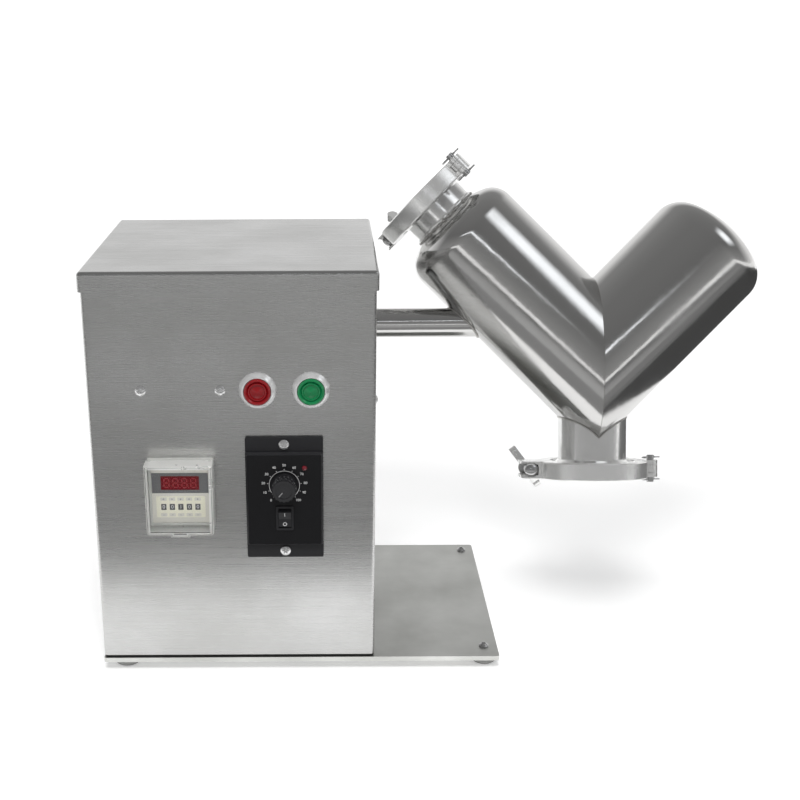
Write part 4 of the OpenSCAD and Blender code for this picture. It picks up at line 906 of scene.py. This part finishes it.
# timer lid
lid = {
    "corner": 2.4 * mm,
    "cornerSteps": 5,
    "edge": 1.2 * mm,
    "edgeSteps": 4,
    "rim": 2.0 * mm,  # frame around the clear front in the whiter edge finish, a painted highlight
    "touch": 0.01 * mm,  # closer than this counts as on a plane
    "sameFace": 1.0,  # degrees within which the solid's faces are one
    "facing": 0.98,  # faces whose normal is nearer to Y than this are clear
    "flat": 0.999,  # walls that face along an axis aren't smoothed
    "smooth": 40,
}


def timerLid():
    # the solid's own faces with rounded edges; the side walls and a frame on the front get the whiter edge
    # finish, a painted highlight standing in for light scattered along the walls
    touch = lid["touch"]
    build = bmesh.new()
    build.from_mesh(nodes["timer_cover"].data)
    bmesh.ops.remove_doubles(build, verts=build.verts, dist=mergeGap)
    bmesh.ops.dissolve_limit(build, angle_limit=math.radians(lid["sameFace"]), verts=build.verts,
                             edges=build.edges)
    front = min(v.co.y for v in build.verts)
    ends = [v.co.copy() for v in build.verts if v.co.y < front + touch]
    sides = (min(c.x for c in ends), max(c.x for c in ends))
    foot = min(c.z for c in ends if abs(c.x - sides[0]) < touch)

    def lowCorner(place):
        return min(abs(place.x - side) for side in sides) < touch and abs(place.z - foot) < touch

    corners = [e for e in build.edges if all(lowCorner(v.co) for v in e.verts)
               and abs(e.verts[0].co.y - e.verts[1].co.y) > lid["corner"]]
    rounded(build, corners, lid["corner"], lid["cornerSteps"])
    rim = [e for e in build.edges if all(v.co.y < front + touch for v in e.verts)]
    rounded(build, rim, lid["edge"], lid["edgeSteps"])
    build.normal_update()
    for face in build.faces:
        face.material_index = int(abs(face.normal.y) < lid["facing"])
    window = [f for f in build.faces if f.normal.y < -lid["facing"]
              and f.calc_center_median().y < front + touch]
    for face in bmesh.ops.inset_region(build, faces=window, thickness=lid["rim"])["faces"]:
        face.material_index = 1
    cover = keep("timerLid", build, "coverClear", "timer_lid", lid["smooth"])
    # the second slot is the painted edge highlight on the walls and front frame
    cover.data.materials.append(finishes["coverEdge"])
    for face in cover.data.polygons:
        face.use_smooth = max(abs(part) for part in face.normal) < lid["flat"]
    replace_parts(cover, "timer_cover")


timerDisplay()
settingRows()
timerLid()
print("timer printed")


# studio
studio = {
    "floorSize": 120.0,
    "floorColour": 0.8,
    "glow": (0.36, 0.9),  # near and far, seen by the camera, in reflections and through clear plastic
    "glowReach": (0.5, 2.5),
    "skyFront": ((0.5, 0.34), (0.6, 0.28), (0.75, 0.18), (1.0, 0.22)),  # height, brightness
    "skyBack": ((0.5, 1.0), (0.66, 0.9), (0.8, 0.3), (1.0, 0.25)),
    "skyTurn": (-0.2, 0.5),  # along Y, from the front to the back
    "cards": (
        # name, middle, size, grey; they lie on the floor and show in reflections only
        ("nearCard", (0.0, -0.46), (5.0, 0.38), 0.24),
        ("frontCard", (0.0, -2.05), (5.0, 2.8), 0.4),
        ("rightCard", (1.72, 0.6), (2.6, 1.94), 0.07),
    ),
    "cardHeight": 2 * mm,
    "cardRough": 0.9,
    "lamps": (
        # name, place, aim, width, height, watts, shows in reflections
        ("topLamp", (-0.1, -0.1, 2.0), (0.0, 0.0, 0.2), 1.3, 0.9, 15, False),
        ("frontLamp", (-0.15, -1.15, 1.75), (0.0, 0.0, 0.25), 0.7, 0.5, 24, False),
        ("rightLamp", (1.25, -0.55, 1.5), (0.1, 0.0, 0.3), 1.1, 1.1, 5.6, True),
        ("stripLamp", (-0.1, -1.9, 1.2), (0.05, 0.0, 0.3), 1.8, 0.07, 1.4, True),
    ),
    "lampTint": (0.93, 0.96, 1.0),
    "lampFade": 0.35,  # part of a lamp's width over which it fades
}


def addFlat(name, place, size, height):
    build = bmesh.new()
    bmesh.ops.create_grid(build, x_segments=1, y_segments=1, size=0.5)
    moved(build, build.verts, Matrix.Translation((*place, height)) @ Matrix.Diagonal((*size, 1, 1)))
    mesh = bpy.data.meshes.new(name)
    build.to_mesh(mesh)
    build.free()
    flat = bpy.data.objects.new(name, mesh)
    bpy.context.scene.collection.objects.link(flat)
    return flat


def addFloor():
    floor = addFlat("floor", (0, 0), [studio["floorSize"]] * 2, 0)
    material = bpy.data.materials.new("floorWhite")
    material.use_nodes = True
    tree = material.node_tree
    tree.nodes.clear()
    matte = put(tree, "ShaderNodeBsdfDiffuse")
    matte.inputs["Color"].default_value = (*[studio["floorColour"]] * 3, 1)
    rays = put(tree, "ShaderNodeLightPath").outputs
    seen = calc(tree, "MAXIMUM", rays["Is Camera Ray"], rays["Is Glossy Ray"])
    seen = calc(tree, "MAXIMUM", seen, rays["Is Transmission Ray"])
    away = put(tree, "ShaderNodeVectorMath", operation="LENGTH")
    tree.links.new(put(tree, "ShaderNodeTexCoord").outputs["Object"], away.inputs[0])
    level = fitRange(tree, away.outputs["Value"], *studio["glowReach"], *studio["glow"])
    glow = put(tree, "ShaderNodeEmission")
    wire(tree, calc(tree, "MULTIPLY", seen, level), glow.inputs["Strength"])
    both = put(tree, "ShaderNodeAddShader")
    tree.links.new(matte.outputs[0], both.inputs[0])
    tree.links.new(glow.outputs[0], both.inputs[1])
    tree.links.new(both.outputs[0], put(tree, "ShaderNodeOutputMaterial").inputs["Surface"])
    floor.data.materials.append(material)


def addCards():
    for name, place, size, grey in studio["cards"]:
        card = addFlat(name, place, size, studio["cardHeight"])
        sockets = {"Base Color": (grey, grey, grey, 1), "Roughness": studio["cardRough"]}
        card.data.materials.append(newMaterial(name, sockets)[0])
        card.visible_camera = False
        card.visible_diffuse = False
        card.visible_transmission = False
        card.visible_shadow = False


def skyRamp(tree, height, levels):
    ramp = put(tree, "ShaderNodeValToRGB")
    wire(tree, height, ramp.inputs["Fac"])
    stops = ramp.color_ramp.elements
    while len(stops) < len(levels):
        stops.new(0.5)
    for stop, (place, level) in zip(stops, levels):
        stop.position = place
        stop.color = (level, level, level, 1)
    return ramp.outputs["Color"]


def addSky():
    # a light wall behind the object and a darker room in front of it
    world = bpy.data.worlds.new("studioSky")
    bpy.context.scene.world = world
    world.use_nodes = True
    tree = world.node_tree
    tree.nodes.clear()
    axes = put(tree, "ShaderNodeSeparateXYZ")
    tree.links.new(put(tree, "ShaderNodeTexCoord").outputs["Generated"], axes.inputs[0])
    height = fitRange(tree, axes.outputs["Z"], -1.0, 1.0, 0.0, 1.0)
    mix = put(tree, "ShaderNodeMix", data_type="RGBA")
    wire(tree, fitRange(tree, axes.outputs["Y"], *studio["skyTurn"], 0.0, 1.0), mix.inputs["Factor"])
    tree.links.new(skyRamp(tree, height, studio["skyFront"]), mix.inputs["A"])
    tree.links.new(skyRamp(tree, height, studio["skyBack"]), mix.inputs["B"])
    light = put(tree, "ShaderNodeBackground")
    tree.links.new(mix.outputs["Result"], light.inputs["Color"])
    tree.links.new(light.outputs[0], put(tree, "ShaderNodeOutputWorld").inputs["Surface"])


def softEdges(data):
    # fades a lamp toward its edges, so that its reflection has no hard outline
    data.use_nodes = True
    tree = data.node_tree
    tree.nodes.clear()
    sides = put(tree, "ShaderNodeSeparateXYZ")
    tree.links.new(put(tree, "ShaderNodeNewGeometry").outputs["Parametric"], sides.inputs[0])
    levels = []
    for axis in ("X", "Y"):
        inside = calc(tree, "PINGPONG", sides.outputs[axis], 0.5)
        levels.append(fitRange(tree, inside, 0.0, studio["lampFade"], 0.0, 1.0))
    glow = put(tree, "ShaderNodeEmission")
    glow.inputs["Color"].default_value = (*studio["lampTint"], 1)
    wire(tree, calc(tree, "MULTIPLY", *levels), glow.inputs["Strength"])
    tree.links.new(glow.outputs[0], put(tree, "ShaderNodeOutputLight").inputs["Surface"])


def addLamps():
    for name, place, aim, width, height, watts, shows in studio["lamps"]:
        data = bpy.data.lights.new(name, "AREA")
        data.shape = "RECTANGLE"
        data.size = width
        data.size_y = height
        data.energy = watts
        lamp = bpy.data.objects.new(name, data)
        turn = (Vector(aim) - Vector(place)).to_track_quat("-Z", "Y").to_matrix().to_4x4()
        lamp.matrix_world = Matrix.Translation(place) @ turn
        lamp.visible_camera = False
        lamp.visible_glossy = shows
        if shows:
            softEdges(data)
        bpy.context.scene.collection.objects.link(lamp)


addFloor()
addCards()
addSky()
addLamps()
bpy.context.scene.view_settings.view_transform = "Standard"
print("studio lit")
